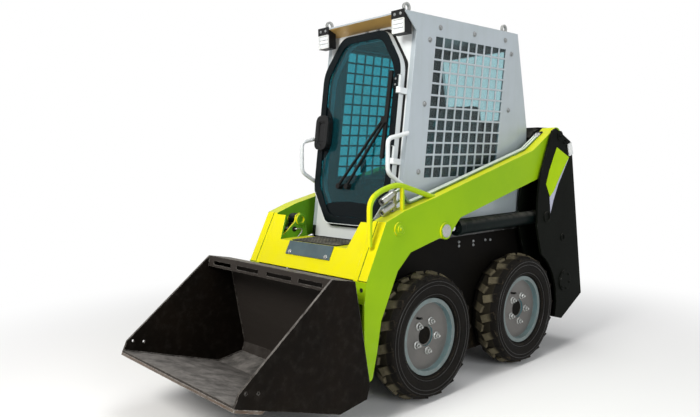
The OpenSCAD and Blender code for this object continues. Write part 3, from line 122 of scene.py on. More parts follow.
def rear(y, h, d):
    """A point by the leaning rear face: across, up along it, and out of it."""
    return spot(
        REAR_AT[0] - d * cos(REAR_LEAN) + h * sin(REAR_LEAN), y,
        REAR_AT[1] + d * sin(REAR_LEAN) + h * cos(REAR_LEAN))


def in_bucket(a, y, b):
    """A point of the bucket's own outline, at its rest angle."""
    x = a * cos(ROLLBACK) - b * sin(ROLLBACK)
    z = a * sin(ROLLBACK) + b * cos(ROLLBACK)
    return spot(BUCKET_AT[0] + x, y, BUCKET_AT[1] + z)


FRONT_OUT = front(0, 0, 1) - front(0, 0, 0)
FRONT_UP = front(0, 1, 0) - front(0, 0, 0)
REAR_OUT = rear(0, 0, 1) - rear(0, 0, 0)


def make_camera():
    """The camera at the photograph's viewing angle."""
    data = bpy.data.cameras.new("camera")
    data.sensor_width = SENSOR_MM
    data.lens = FOCAL_PX * SENSOR_MM / IMAGE_W
    camera = bpy.data.objects.new("camera", data)
    scene.collection.objects.link(camera)
    yaw, pitch, roll = (radians(a) for a in (CAMERA_YAW, CAMERA_PITCH, CAMERA_ROLL))
    ahead = Vector((cos(pitch) * cos(yaw), cos(pitch) * sin(yaw), sin(pitch)))
    right = ahead.cross(Vector((0, 0, 1))).normalized()
    up = right.cross(ahead)
    right_rolled = cos(roll) * right + sin(roll) * up
    up_rolled = -sin(roll) * right + cos(roll) * up
    turn = Matrix((right_rolled, up_rolled, -ahead)).transposed()
    camera.matrix_world = Matrix.Translation(CAMERA_AT) @ turn.to_4x4()
    data.clip_start, data.clip_end = 0.05, 200.0
    scene.camera = camera


make_camera()


# Shader nodes

def linear(red, green, blue):
    """A colour picked on screen, 0 to 255, as scene light."""
    def one(c):
        c /= 255
        return c / 12.92 if c <= 0.04045 else ((c + 0.055) / 1.055) ** 2.4
    return (one(red), one(green), one(blue), 1.0)


def add(tree, kind, inputs=(), **settings):
    """A shader node with its settings, and values or links on its inputs."""
    made = tree.nodes.new("ShaderNode" + kind)
    for key, value in settings.items():
        setattr(made, key, value)
    for key, value in dict(inputs).items():
        if isinstance(value, bpy.types.NodeSocket):
            tree.links.new(value, made.inputs[key])
        else:
            made.inputs[key].default_value = value
    return made


def math_of(tree, operation, a, b=0.0, clamp=False):
    """The result of a sum on two values."""
    return add(tree, "Math", {0: a, 1: b}, operation=operation, use_clamp=clamp).outputs[0]


def ramp_of(tree, value, low, high, to_low=0.0, to_high=1.0):
    """The value carried smoothly from one range to another."""
    return add(tree, "MapRange", {0: value, 1: low, 2: high, 3: to_low, 4: to_high},
               interpolation_type="SMOOTHSTEP").outputs[0]


def mix_of(tree, factor, a, b):
    """A colour between two, each a link or a colour picked on screen."""
    a, b = (c if isinstance(c, bpy.types.NodeSocket) else linear(*c) for c in (a, b))
    return add(tree, "Mix", {0: factor, 6: a, 7: b}, data_type="RGBA").outputs[2]


def noise_of(tree, coords, scale, detail=4.0, rough=0.55):
    """Noise from 0 to 1."""
    return add(tree, "TexNoise", {"Vector": coords, "Scale": scale, "Detail": detail,
                                  "Roughness": rough}).outputs["Fac"]


def new_material(name):
    """A material, with its node tree and its shader."""
    material = bpy.data.materials.new(name)
    material.use_nodes = True
    return material, material.node_tree, material.node_tree.nodes["Principled BSDF"]


def tinted(tree, shade, sides, spots, facing):
    """A shade changed where the surface faces along an axis, and in a stretch of another if given."""
    for axis, start, stop, tint, *gate in facing:
        part = ramp_of(tree, sides[axis], start, stop)
        if gate:
            along, low, high = gate[0]
            part = math_of(tree, "MULTIPLY", part, ramp_of(tree, spots[along], low, high))
        shade = mix_of(tree, part, shade, tint)
    return shade


def crowned(tree, shade, coords, hub, low, high, tint):
    """A shade changed in patches beyond a radius from a wheel's axis: dust on the tyres, painted reflection on
    the rims.
    """
    flat = add(tree, "VectorMath", {0: coords, 1: (1, 0, 1)}, operation="MULTIPLY").outputs[0]
    reach = add(tree, "VectorMath", {0: flat, 1: hub}, operation="DISTANCE").outputs["Value"]
    dirt_and_reflection = ramp_of(tree, noise_of(tree, coords, 26.0, 8.0, 0.7), 0.25, 0.7, 0.45, 1.0)
    return mix_of(tree, math_of(tree, "MULTIPLY", ramp_of(tree, reach, low, high), dirt_and_reflection), shade, tint)


def streaked(tree, shade, coords, squeeze, scale, most, tint):
    """A shade with streaks along the axis that is squeezed least."""
    drawn = add(tree, "Mapping", {"Vector": coords, "Scale": squeeze}).outputs[0]
    lines = noise_of(tree, drawn, scale, 5.0, 0.65)
    return mix_of(tree, ramp_of(tree, lines, 0.45, 0.8, 0.0, most), shade, tint)


def rub_of(tree, coords, eased, true, wear):
    """How worn a point is: chips where the eased normal leaves the true one."""
    bend = add(tree, "VectorMath", {0: eased, 1: true}, operation="DOT_PRODUCT").outputs["Value"]
    chips = ramp_of(tree, noise_of(tree, coords, 38.0, 8.0, 0.7), 0.62 - 0.3 * wear, 0.66 - 0.1 * wear)
    return math_of(tree, "MULTIPLY", ramp_of(tree, bend, 0.985, 0.86), chips, True)


def dust_of(tree, coords, up, height, most, low_dust):
    """How dusty a point is: where it faces up and, with low_dust, near the ground."""
    film = ramp_of(tree, noise_of(tree, coords, 14.0, 8.0, 0.7), 0.3, 0.75)
    cover = math_of(tree, "MULTIPLY", ramp_of(tree, up, 0.2, 0.95), film)
    if low_dust:
        low = ramp_of(tree, height, low_dust[1], low_dust[0])
        specks = ramp_of(tree, noise_of(tree, coords, 22.0, 10.0, 0.75), 0.42, 0.72)
        cover = math_of(tree, "MAXIMUM", cover, math_of(tree, "MULTIPLY", low, specks))
    return math_of(tree, "MULTIPLY", cover, most, True)


def finish(name, colour, deep, rough=(0.35, 0.55), metal=0.0, gloss=0.5, coat=0.0, patch=5.0, grain=260.0,
           bump=0.12, lump=0.0, edge=0.003, worn=None, wear=0.5, dust=None, dust_by=0.4, low_dust=None,
           facing=(), mirror=False, inward_shade=None, below=None, crown=None, streak=None):
    """Paint, metal, rubber or plastic with patches, grain, worn edges and dust.

    facing tints by the normal, the same on both sides with mirror, and on several paints is painted light and
    shade;
    inside paints shade on what faces the middle plane, below tints what is under a height, and crown what is far
    from a wheel's axis.
    """
    material, tree, shader = new_material(name)
    place = tree.nodes.new("ShaderNodeTexCoord")
    coords, normal = place.outputs["Object"], place.outputs["Normal"]
    patches = noise_of(tree, coords, patch, 6.0, 0.6)
    grains = noise_of(tree, coords, grain, 3.0)
    shade = mix_of(tree, ramp_of(tree, patches, 0.3, 0.7), colour, deep)
    sides = list(add(tree, "SeparateXYZ", {0: normal}).outputs)
    spots = list(add(tree, "SeparateXYZ", {0: coords}).outputs)
    inward = math_of(tree, "MULTIPLY", sides[1], spots[1]) if inward_shade else None
    if mirror:
        sides[1] = math_of(tree, "ABSOLUTE", sides[1])
    shade = tinted(tree, shade, sides, spots, facing)
    # Painted shade: faces turned towards the middle plane darken to the given colour
    if inward_shade:
        shade = mix_of(tree, ramp_of(tree, inward, -0.05, -0.15), shade, inward_shade)
    if below:
        shade = mix_of(tree, ramp_of(tree, spots[2], below[0] + 0.002, below[0]), shade, below[1])
    if crown:
        shade = crowned(tree, shade, coords, *crown)
    if streak:
        shade = streaked(tree, shade, coords, *streak)
    roughness = ramp_of(tree, grains, 0.25, 0.75, rough[0], rough[1])
    true = tree.nodes.new("ShaderNodeNewGeometry").outputs["Normal"]
    eased = add(tree, "Bevel", {"Radius": edge}, samples=4).outputs[0] if edge else true
    if worn:
        rub = rub_of(tree, coords, eased, true, wear)
        shade = mix_of(tree, rub, shade, worn)
        roughness = math_of(tree, "ADD", roughness, math_of(tree, "MULTIPLY", rub, 0.15))
    if dust:
        cover = dust_of(tree, coords, sides[2], spots[2], dust_by, low_dust)
        shade = mix_of(tree, cover, shade, dust)
        roughness = math_of(tree, "ADD", roughness, math_of(tree, "MULTIPLY", cover, 0.4), True)
    hills = math_of(tree, "ADD", math_of(tree, "MULTIPLY", grains, 0.0006),
                    math_of(tree, "MULTIPLY", patches, 0.0006 + lump))
    relief = add(tree, "Bump", {"Height": hills, "Strength": bump, "Normal": eased, "Distance": 1.0})
    tree.links.new(shade, shader.inputs["Base Color"])
    tree.links.new(roughness, shader.inputs["Roughness"])
    tree.links.new(relief.outputs[0], shader.inputs["Normal"])
    shader.inputs["Metallic"].default_value = metal
    shader.inputs["Specular IOR Level"].default_value = gloss
    shader.inputs["Coat Weight"].default_value = coat
    shader.inputs["Coat Roughness"].default_value = 0.12
    return material


def glass(name, tint, clear, haze, bend):
    """Tinted glass with a faint film of dust."""
    material, tree, shader = new_material(name)
    coords = tree.nodes.new("ShaderNodeTexCoord").outputs["Object"]
    film = noise_of(tree, coords, 9.0, 8.0, 0.7)
    tone = mix_of(tree, ramp_of(tree, film, 0.35, 0.75), tint, haze)
    tree.links.new(tone, shader.inputs["Base Color"])
    tree.links.new(ramp_of(tree, film, 0.4, 0.8, 0.02, 0.09), shader.inputs["Roughness"])
    ripple = add(tree, "Bump", {"Height": noise_of(tree, coords, 2.2, 1.0), "Strength": 0.02})
    tree.links.new(ripple.outputs[0], shader.inputs["Normal"])
    shader.inputs["Transmission Weight"].default_value = clear
    shader.inputs["IOR"].default_value = bend
    return material


def lens_glow(name):
    """A pale ribbed lens over light emitting diodes."""
    material, tree, shader = new_material(name)
    coords = tree.nodes.new("ShaderNodeTexCoord").outputs["Object"]
    ribs = add(tree, "TexVoronoi", {"Vector": coords, "Scale": 85.0}).outputs["Distance"]
    tone = mix_of(tree, ramp_of(tree, ribs, 0.1, 0.6), (252, 252, 250), (214, 219, 223))
    tree.links.new(tone, shader.inputs["Base Color"])
    tree.links.new(ramp_of(tree, ribs, 0.0, 0.7, 0.1, 0.28), shader.inputs["Roughness"])
    bumps = add(tree, "Bump", {"Height": ribs, "Strength": 0.25, "Distance": 0.002})
    tree.links.new(bumps.outputs[0], shader.inputs["Normal"])
    shader.inputs["Coat Weight"].default_value = 0.6
    return material


# Materials, with colours as picked on screen, 0 to 255

GREY_DUST, MUD = (150, 146, 138), (112, 96, 72)
# The dark grey is painted shade on faces inside and under the cab; the tan is the brow's underside
INNER_SHADE_GREY, BROW_TAN = (34, 38, 38), (206, 166, 96)
# The yellow tint is painted light on faces turned forward and up; the shade green is painted shade on faces
# turned inward
LIME, PAINTED_LIGHT_YELLOW, SHADE_GREEN = (146, 184, 16), (222, 213, 4), (88, 142, 28)
SILVER, SILVER_DEEP = (172, 181, 188), (160, 170, 174)
# The inward tint on the arms is painted shade
ARM_PAINT = dict(gloss=0.09, bump=0.06, wear=0.35, edge=0.004, inward_shade=SHADE_GREEN, dust=GREY_DUST)
CAB_PAINT = dict(metal=0.15, coat=0.2, grain=420.0, bump=0.05, worn=(206, 210, 212), wear=0.3,
                 dust=GREY_DUST)
WHEEL_ENDS = (("rear", -1), ("front", 1))

black_paint = finish(
    "black_paint", (14, 17, 13), (9, 11, 8), (0.42, 0.6), gloss=0.025, patch=3.0, worn=(70, 70, 68),
    wear=0.3, dust=GREY_DUST, dust_by=0.14)
chassis_paint = finish(
    "chassis_paint", (13, 11, 8), (7, 6, 5), (0.5, 0.7), gloss=0.06, patch=4.0, worn=(50, 48, 44),
    wear=0.25, dust=MUD, dust_by=0.15, low_dust=(0.12, 0.4))
# Painted light: the arms' forward faces above the apron turn yellow and their upward faces yellow-green
lime_paint = finish(
    "lime_paint", LIME, (134, 175, 20), (0.3, 0.42), patch=2.2, dust_by=0.15, worn=(196, 214, 110),
    low_dust=(0.12, 0.5), **ARM_PAINT,
    facing=[(0, 0.25, 0.8, PAINTED_LIGHT_YELLOW, (2, 0.585, 0.592)), (2, 0.5, 0.95, (196, 204, 16))])
# Painted light and shade: the cross member's forward faces turn bright yellow and its side faces lime
yellow_paint = finish(
    "yellow_paint", (206, 206, 8), (196, 198, 10), (0.3, 0.42), patch=2.4, dust_by=0.2,
    worn=(228, 228, 130), mirror=True, **ARM_PAINT,
    facing=[(1, 0.5, 0.9, LIME), (0, 0.4, 0.9, PAINTED_LIGHT_YELLOW)])
seam_paint = finish(
    "seam_paint", (96, 122, 12), (78, 104, 14), (0.4, 0.55), gloss=0.1, patch=20.0, bump=0.1, edge=0.001)
# Painted light: the rail's forward faces turn yellow
rail_paint = finish(
    "rail_paint", (162, 188, 14), (148, 180, 18), (0.3, 0.42), gloss=0.2, patch=9.0, bump=0.06, edge=0.0,
    facing=[(0, 0.2, 0.9, PAINTED_LIGHT_YELLOW)])
# Painted shade: the cab sides' faces turned inwards darken to dark grey
silver_paint = finish(
    "silver_paint", SILVER, SILVER_DEEP, (0.3, 0.42), patch=1.6, dust_by=0.2, **CAB_PAINT,
    streak=((9.0, 9.0, 1.0), 3.0, 0.25, (150, 158, 152)), below=(0.75, (14, 14, 13)), inward_shade=INNER_SHADE_GREY)
# Painted shade: the roof's downward faces darken to dark grey, except the brow's underside, which is tan
roof_paint = finish(
    "roof_paint", (176, 184, 190), (164, 173, 177), (0.3, 0.45), patch=2.0, dust_by=0.35, **CAB_PAINT,
    facing=[(2, -0.25, -0.6, INNER_SHADE_GREY), (2, -0.25, -0.6, BROW_TAN, (0, 0.07, 0.09))])
# Painted shade: the cab rear's faces turned forwards, into the cab, darken to dark grey
rear_paint = finish(
    "rear_paint", SILVER, SILVER_DEEP, (0.3, 0.42), patch=1.6, dust_by=0.2, **CAB_PAINT,
    facing=[(0, 0.3, 0.8, INNER_SHADE_GREY)])
white_paint = finish(
    "white_paint", (222, 225, 226), (208, 213, 215), (0.28, 0.4), coat=0.25, patch=2.5, bump=0.05,
    worn=(240, 240, 238), wear=0.3, dust=GREY_DUST, dust_by=0.25,
    streak=((8.0, 8.0, 1.0), 3.0, 0.25, (176, 182, 184)))
door_paint = finish(
    "door_paint", (12, 20, 23), (8, 14, 17), (0.2, 0.3), gloss=0.07, patch=4.0, bump=0.04,
    worn=(80, 88, 92), wear=0.3, edge=0.002, facing=[(1, 0.3, 0.75, (206, 211, 212), (1, 0.0, 0.05))])
# Painted reflection: the rims' barrels turn teal, and their flanges grey-teal in patches
rim_paint = [finish(
    f"rim_paint_{k}", (104, 101, 98), (92, 91, 88), (0.38, 0.52), gloss=0.25, patch=7.0, bump=0.08,
    worn=(170, 172, 170), dust=MUD, dust_by=0.3, facing=[(1, 0.6, 0.2, (88, 130, 138))], mirror=True,
    crown=((end * AXLE_X - MID_X, 0.0, AXLE_Z), 0.146, 0.156, (112, 126, 126))) for k, end in WHEEL_ENDS]
tyre_rubber = [finish(
    f"tyre_rubber_{k}", (17, 14, 11), (9, 8, 6), (0.6, 0.85), gloss=0.1, patch=12.0, grain=160.0, bump=0.3,
    lump=0.0015, worn=(76, 68, 54), wear=0.6, edge=0.005,
    crown=((end * AXLE_X - MID_X, 0.0, AXLE_Z), 0.274, 0.282, (102, 95, 76))) for k, end in WHEEL_ENDS]
rubber = finish("rubber", (24, 24, 24), (15, 15, 15), (0.5, 0.7), gloss=0.15, patch=16.0, bump=0.2)
rib_rubber = finish(
    "rib_rubber", (30, 28, 26), (19, 18, 17), (0.28, 0.42), gloss=0.35, patch=20.0, bump=0.1)
plastic = finish(
    "plastic", (17, 17, 18), (11, 11, 12), (0.35, 0.5), gloss=0.2, patch=8.0, grain=700.0, bump=0.5,
    worn=(70, 70, 70), wear=0.3, edge=0.002)
step_paint = finish(
    "step_paint", (66, 86, 92), (58, 75, 81), (0.4, 0.55), gloss=0.3, patch=10.0, worn=(150, 154, 156),
    wear=0.6, dust=GREY_DUST)
tread_grit = finish(
    "tread_grit", (40, 40, 38), (22, 22, 22), (0.7, 0.95), patch=90.0, grain=420.0, bump=0.8, lump=0.003,
    dust=(128, 124, 104), dust_by=0.6)
bucket_steel = finish(
    "bucket_steel", (17, 12, 7), (10, 7, 4), (0.5, 0.7), gloss=0.06, patch=6.0, bump=0.2, lump=0.001,
    worn=(120, 116, 110), wear=0.7, edge=0.005,
    facing=[(2, 0.3, 0.95, (74, 72, 70)), (0, 0.1, 0.6, (46, 42, 39))], dust=(142, 138, 134), dust_by=0.75,
    streak=((6.0, 1.0, 6.0), 5.0, 0.14, (70, 66, 62)))
edge_steel = finish(
    "edge_steel", (112, 104, 96), (84, 74, 64), (0.35, 0.6), metal=0.7, patch=18.0, bump=0.25, lump=0.001,
    worn=(176, 172, 166), wear=0.9, edge=0.005, streak=((10.0, 1.0, 10.0), 6.0, 0.6, (106, 70, 44)))
steel = finish(
    "steel", (176, 177, 174), (150, 152, 150), (0.22, 0.38), metal=0.85, patch=20.0, bump=0.08,
    worn=(214, 214, 210), edge=0.0015)
chrome = finish(
    "chrome", (214, 216, 218), (198, 201, 204), (0.06, 0.14), metal=1.0, patch=10.0, bump=0.02, edge=0.001)
bolt_steel = finish(
    "bolt_steel", (150, 153, 154), (118, 121, 121), (0.3, 0.48), metal=0.8, patch=60.0, bump=0.1,
    worn=(226, 226, 224), edge=0.001)
cylinder_paint = finish(
    "cylinder_paint", (12, 22, 21), (8, 15, 14), (0.35, 0.5), gloss=0.05, patch=7.0, worn=(110, 116, 114),
    dust=GREY_DUST, dust_by=0.3)
# Painted highlight: the lines' upward faces turn near white
line_paint = finish(
    "line_paint", (124, 150, 112), (88, 112, 76), (0.3, 0.45), metal=0.3, patch=14.0, bump=0.08,
    worn=(212, 218, 206), edge=0.0015, facing=[(2, 0.3, 0.9, (206, 214, 202))])
engine_iron = finish(
    "engine_iron", (66, 66, 66), (46, 46, 46), (0.55, 0.75), metal=0.3, patch=14.0, bump=0.3, lump=0.002,
    worn=(110, 108, 104), dust=MUD)
vinyl = finish(
    "vinyl", (34, 34, 36), (26, 26, 28), (0.38, 0.52), patch=6.0, grain=520.0, bump=0.55, edge=0.002,
    dust=GREY_DUST, dust_by=0.12)
lens_white = finish(
    "lens_white", (232, 233, 230), (214, 217, 216), (0.12, 0.22), coat=0.5, patch=30.0, bump=0.08)
lens_red = finish("lens_red", (150, 22, 18), (112, 12, 12), (0.12, 0.22), coat=0.5, patch=40.0, bump=0.1)
stripe_silver = finish(
    "stripe_silver", (178, 180, 198), (164, 166, 186), (0.28, 0.4), metal=0.2, patch=9.0, bump=0.03)
stripe_lime = finish(
    "stripe_lime", (174, 208, 4), (166, 202, 6), (0.3, 0.42), gloss=0.05, patch=5.0, bump=0.03)
door_glass = glass("door_glass", (52, 158, 174), 0.95, (62, 158, 170), 1.28)
side_glass = glass("side_glass", (196, 222, 226), 0.98, (196, 216, 218), 1.22)
led_lens = lens_glow("led_lens")

LOOKS = (
    (chassis_paint, "chassis axles"), (black_paint, "towers hood rear_door quick_attach"),
    (engine_iron, "engine"), (lens_white, "tail_lamps"), (silver_paint, "cab_sides"),
    (side_glass, "side_glass rear_glass"), (white_paint, "cab_front cab_handles"), (roof_paint, "cab_roof"),
    (rear_paint, "cab_rear"), (plastic, "work_lamps seat_base consoles levers door_latch"),
    (steel, "lifting_eyes couplers"), (vinyl, "seat"), (door_paint, "door_frame"), (door_glass, "door_glass"),
    (rubber, "wiper"), (lime_paint, "arms"), (yellow_paint, "cross_member"), (step_paint, "step_plate"),
    (tread_grit, "step_tread"), (rail_paint, "guard_rail"), (line_paint, "hydraulic_lines"),
    (cylinder_paint, "lift_barrels tilt_barrels"), (chrome, "lift_rods tilt_rods"), (bucket_steel, "bucket"),
    (edge_steel, "cutting_edge"))
BY_NODE = {node: look for look, names in LOOKS for node in names.split()}
for name, obj in nodes.items():
    wheel_material = tyre_rubber if name.startswith("tyre") else rim_paint
    obj.data.materials.clear()
    obj.data.materials.append(BY_NODE.get(name) or wheel_material["front" in name])


# Mesh helpers

def piece(name, bm, material, body):
    """An object from a bmesh, smooth where it bends gently, on its body."""
    mesh = bpy.data.meshes.new(name)
    bmesh.ops.remove_doubles(bm, verts=bm.verts, dist=1e-6)
    bmesh.ops.recalc_face_normals(bm, faces=bm.faces)
    bm.to_mesh(mesh)
    bm.free()
    mesh.polygons.foreach_set("use_smooth", [True] * len(mesh.polygons))
    mesh.set_sharp_from_angle(angle=radians(32))
    mesh.materials.append(material)
    obj = bpy.data.objects.new(name, mesh)
    scene.collection.objects.link(obj)
    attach(obj, body)
    return obj


def join(bm, rows, closed=False):
    """Faces between loops of points, in turn: back to the first if closed, or else capped."""
    for low, high in zip(rows, rows[1:] + rows[:1] if closed else rows[1:]):
        count = len(low)
        for k in range(count):
            bm.faces.new((low[k], low[(k + 1) % count], high[(k + 1) % count], high[k]))
    if not closed:
        bm.faces.new(rows[0][::-1])
        bm.faces.new(rows[-1])


def axes_for(axis):
    """Two directions square to an axis and to each other."""
    axis = Vector(axis).normalized()
    side = Vector((0, 0, 1)) if abs(axis.z) < 0.9 else Vector((1, 0, 0))
    first = side.cross(axis).normalized()
    return first, axis.cross(first)


def turned(bm, origin, axis, profile, steps, turn=0.0):
    """A loop of points about an axis for each (radius, height) of a profile."""
    axis = Vector(axis).normalized()
    first, second = axes_for(axis)
    angles = [2 * pi * k / steps + turn for k in range(steps)]
    spokes = [first * cos(a) + second * sin(a) for a in angles]
    return [[bm.verts.new(Vector(origin) + axis * height + out * max(radius, 1e-5)) for out in spokes]
            for radius, height in profile]


def lathe(bm, origin, axis, profile, steps=24, turn=0.0):
    """A closed body of revolution through (radius, height) points."""
    join(bm, turned(bm, origin, axis, profile, steps, turn))


def ring(bm, origin, axis, profile, steps=64):
    """An open ring: the profile's last point joins its first."""
    join(bm, turned(bm, origin, axis, profile, steps), True)


def bolt(bm, at, axis, size, turn=0.0):
    """A flanged hexagon head with a chamfer."""
    across, height = size
    r = across / sqrt(3)
    lathe(bm, at, axis, [(r * 1.32, -SINK), (r * 1.32, height * 0.2), (r * 1.05, height * 0.34)], 20)
    lathe(bm, at, axis, [(r, height * 0.2), (r, height * 0.86), (r * 0.84, height), (r * 0.3, height)], 6, turn)


def plate(bm, points, out, thick, chamfer=0.0):
    """A flat plate over a loop of points, with a chamfered face."""
    out = Vector(out).normalized()
    points = [Vector(p) for p in points]
    middle = sum(points, Vector()) / len(points)
    loops = [points, [p + out * (thick - chamfer) for p in points]]
    if chamfer:
        loops.append([p + (middle - p).normalized() * chamfer + out * thick for p in points])
    join(bm, [[bm.verts.new(p) for p in loop] for loop in loops])


def band(bm, outer, inner, out, low, high):
    """A flat ring between two loops of the same number of points."""
    out = Vector(out).normalized()
    lifts = ((outer, low), (outer, high), (inner, high), (inner, low))
    join(bm, [[bm.verts.new(Vector(p) + out * lift) for p in loop] for loop, lift in lifts], True)


def tube(bm, points, radius, sides=12):
    """A round tube along a path; the radius is one number or one for each point."""
    points = [Vector(p) for p in points]
    radii = radius if isinstance(radius, list) else [radius] * len(points)
    up = None
    rows = []
    for k, p in enumerate(points):
        ahead = (points[min(k + 1, len(points) - 1)] - points[max(k - 1, 0)]).normalized()
        up = axes_for(ahead)[0] if up is None else (up - ahead * up.dot(ahead)).normalized()
        second = ahead.cross(up)
        angles = [2 * pi * j / sides for j in range(sides)]
        rows.append([bm.verts.new(p + (up * cos(a) + second * sin(a)) * radii[k]) for a in angles])
    join(bm, rows)


def weld(bm, points, radius, seed):
    """A rippled bead along a line."""
    chance = random.Random(seed)
    fine = []
    for a, b in zip(points, points[1:]):
        steps = max(2, int((b - a).length / 0.005))
        fine += [a.lerp(b, k / steps) for k in range(steps)]
    fine.append(points[-1])
    tube(bm, fine, [radius * chance.uniform(0.8, 1.2) for _ in fine], 6)


def smooth_path(points, steps=10):
    """Points of a smooth curve through the given ones."""
    points = [Vector(p) for p in points]
    ends = [points[0] * 2 - points[1]] + points + [points[-1] * 2 - points[-2]]
    path = []
    for k in range(1, len(ends) - 2):
        a, b, c, d = ends[k - 1:k + 3]
        for j in range(steps):
            t = j / steps
            path.append(0.5 * ((2 * b) + (c - a) * t + (2 * a - 5 * b + 4 * c - d) * t * t
                               + (3 * b - a - 3 * c + d) * t ** 3))
    return path + [points[-1]]


def rounded(loop, radius, steps=6):
    """A flat loop with its corners rounded."""
    made = []
    count = len(loop)
    for k in range(count):
        a, b, c = (Vector(loop[(k + j) % count]) for j in (-1, 0, 1))
        to_a, to_c = (a - b), (c - b)
        reach = min(radius / tan(to_a.angle(to_c) / 2), to_a.length * 0.45, to_c.length * 0.45)
        start, stop = b + to_a.normalized() * reach, b + to_c.normalized() * reach
        for j in range(steps + 1):
            t = j / steps
            made.append(start * (1 - t) ** 2 + b * 2 * t * (1 - t) + stop * t * t)
    return made


def inset_line(points, by):
    """A line of flat points moved to its right-hand side."""
    points = [Vector(p) for p in points]
    ways = [(b - a).normalized() for a, b in zip(points, points[1:])]
    rights = [Vector((way.y, -way.x)) for way in ways]
    pairs = zip(points, [rights[0]] + rights, rights + [rights[-1]])
    return [p + (a + b) / (1 + a.dot(b)) * by for p, a, b in pairs]


def dress_wheels():
    """Nuts on the studs, valves, and the ribs of the sidewalls."""
    for end_name, end in (("front", 1), ("rear", -1)):
        for side_name, side in (("left", 1), ("right", -1)):
            body = f"wheel_{end_name}_{side_name}"
            out = Vector((0, side, 0))
            hub = spot(end * AXLE_X, side * (TYRE_MID_Y + DISC_Y), AXLE_Z)
            nuts, ribs = bmesh.new(), bmesh.new()
            for k in range(STUDS):
                angle = -side * (2 * pi * k / STUDS + STUD_TURN)
                at = hub + Vector((cos(angle), 0, sin(angle))) * STUD_R
                bolt(nuts, at, out, WHEEL_NUT, 0.4 * k)
                lathe(nuts, at + out * WHEEL_NUT[1], out, [(0.0065, 0), (0.0065, 0.008), (0.005, 0.01)], 12)
            piece(f"wheel_nuts_{end_name}_{side_name}", nuts, steel, body)
            centre = spot(end * AXLE_X, side * TYRE_MID_Y, AXLE_Z)
            for radius, face in SIDEWALL_RIBS:
                ring(ribs, centre, out, [(radius - 0.002, face - 0.003), (radius - 0.0012, face + 0.0014),
                                         (radius + 0.0012, face + 0.0014), (radius + 0.002, face - 0.003)], 96)
            valve = hub + Vector((VALVE_AT[0], 0, VALVE_AT[1])) - out * SINK
            path = [valve, valve + out * 0.016, valve + out * 0.03 + Vector((0, 0, 0.004))]
            tube(ribs, smooth_path(path, 4), 0.0055, 10)
            piece(f"tyre_ribs_{end_name}_{side_name}", ribs, rib_rubber, body)


def bolt_cab():
    """Bolts on the cab's sides, the chassis, the lamp brackets and the brow."""
    bolts = bmesh.new()
    for side in SIDES:
        out = Vector((0, side, 0))
        for k, (x, z) in enumerate(GRILLE_BOLTS_AT):
            bolt(bolts, spot(x, side * CAB_Y, z), out, GRILLE_BOLT, 0.5 * k)
        for x, z in CHASSIS_BOLTS_AT:
            bolt(bolts, spot(x, side * CHASSIS_Y, z), out, CHASSIS_BOLT)
        for across in (-0.018, 0.018):
            bolt(bolts, spot(LAMP_X + LAMP_LIP, side * LAMP_Y + across, ROOF_Z - 0.012), (1, 0, 0), LAMP_BOLT)
    for y in (-0.02, 0.055):
        bolt(bolts, front(y, DOOR_FOOT + DOOR_H + 0.012, 0), FRONT_OUT, BROW_BOLT, 0.3)
    piece("cab_bolts", bolts, bolt_steel, "frame")


def dress_uprights():
    """Stripes, cover bolts, rings, keeper bolts and grease nipples."""
    flash, stripe, trim = bmesh.new(), bmesh.new(), bmesh.new()
    for side in SIDES:
        out = Vector((0, side, 0))
        face_y = side * TOWER_OUT_Y
        plate(flash, [spot(x, face_y, z) for x, z in FLASH], out, 0.0008)
        plate(stripe, [spot(x, face_y, z) for x, z in STRIPE], out, 0.0007)
        for k in range(6):
            angle = pi * k / 3 + 0.3
            bolt(trim, spot(COVER_AT[0] + 0.046 * cos(angle), side * (TOWER_OUT_Y + CAP_T),
                            COVER_AT[1] + 0.046 * sin(angle)), out, COVER_BOLT, 0.2)
        ring(trim, spot(LOW_RING_AT[0], face_y, LOW_RING_AT[1]), out,
             [(0.013, -SINK), (0.013, 0.0035), (0.021, 0.0035), (0.023, -SINK)], 32)
        ring(trim, spot(LIFT_BASE[0], face_y, LIFT_BASE[1]), out,
             [(0.022, -SINK), (0.022, 0.004), (0.03, 0.004), (0.032, -SINK)], 32)
        bolt(trim, spot(PIVOT[0] - 0.046, face_y, PIVOT[1] - 0.035), out, PIN_BOLT)
        lathe(trim, spot(PIVOT[0], side * (TOWER_OUT_Y + CAP_T / 2), PIVOT[1]), out,
              [(0.0065, -SINK), (0.0065, 0.004), (0.003, 0.006), (0.0036, 0.009), (0.002, 0.011)], 12)
    piece("tower_flash", flash, stripe_lime, "frame")
    piece("tower_stripe", stripe, stripe_silver, "frame")
    piece("tower_trim", trim, black_paint, "frame")


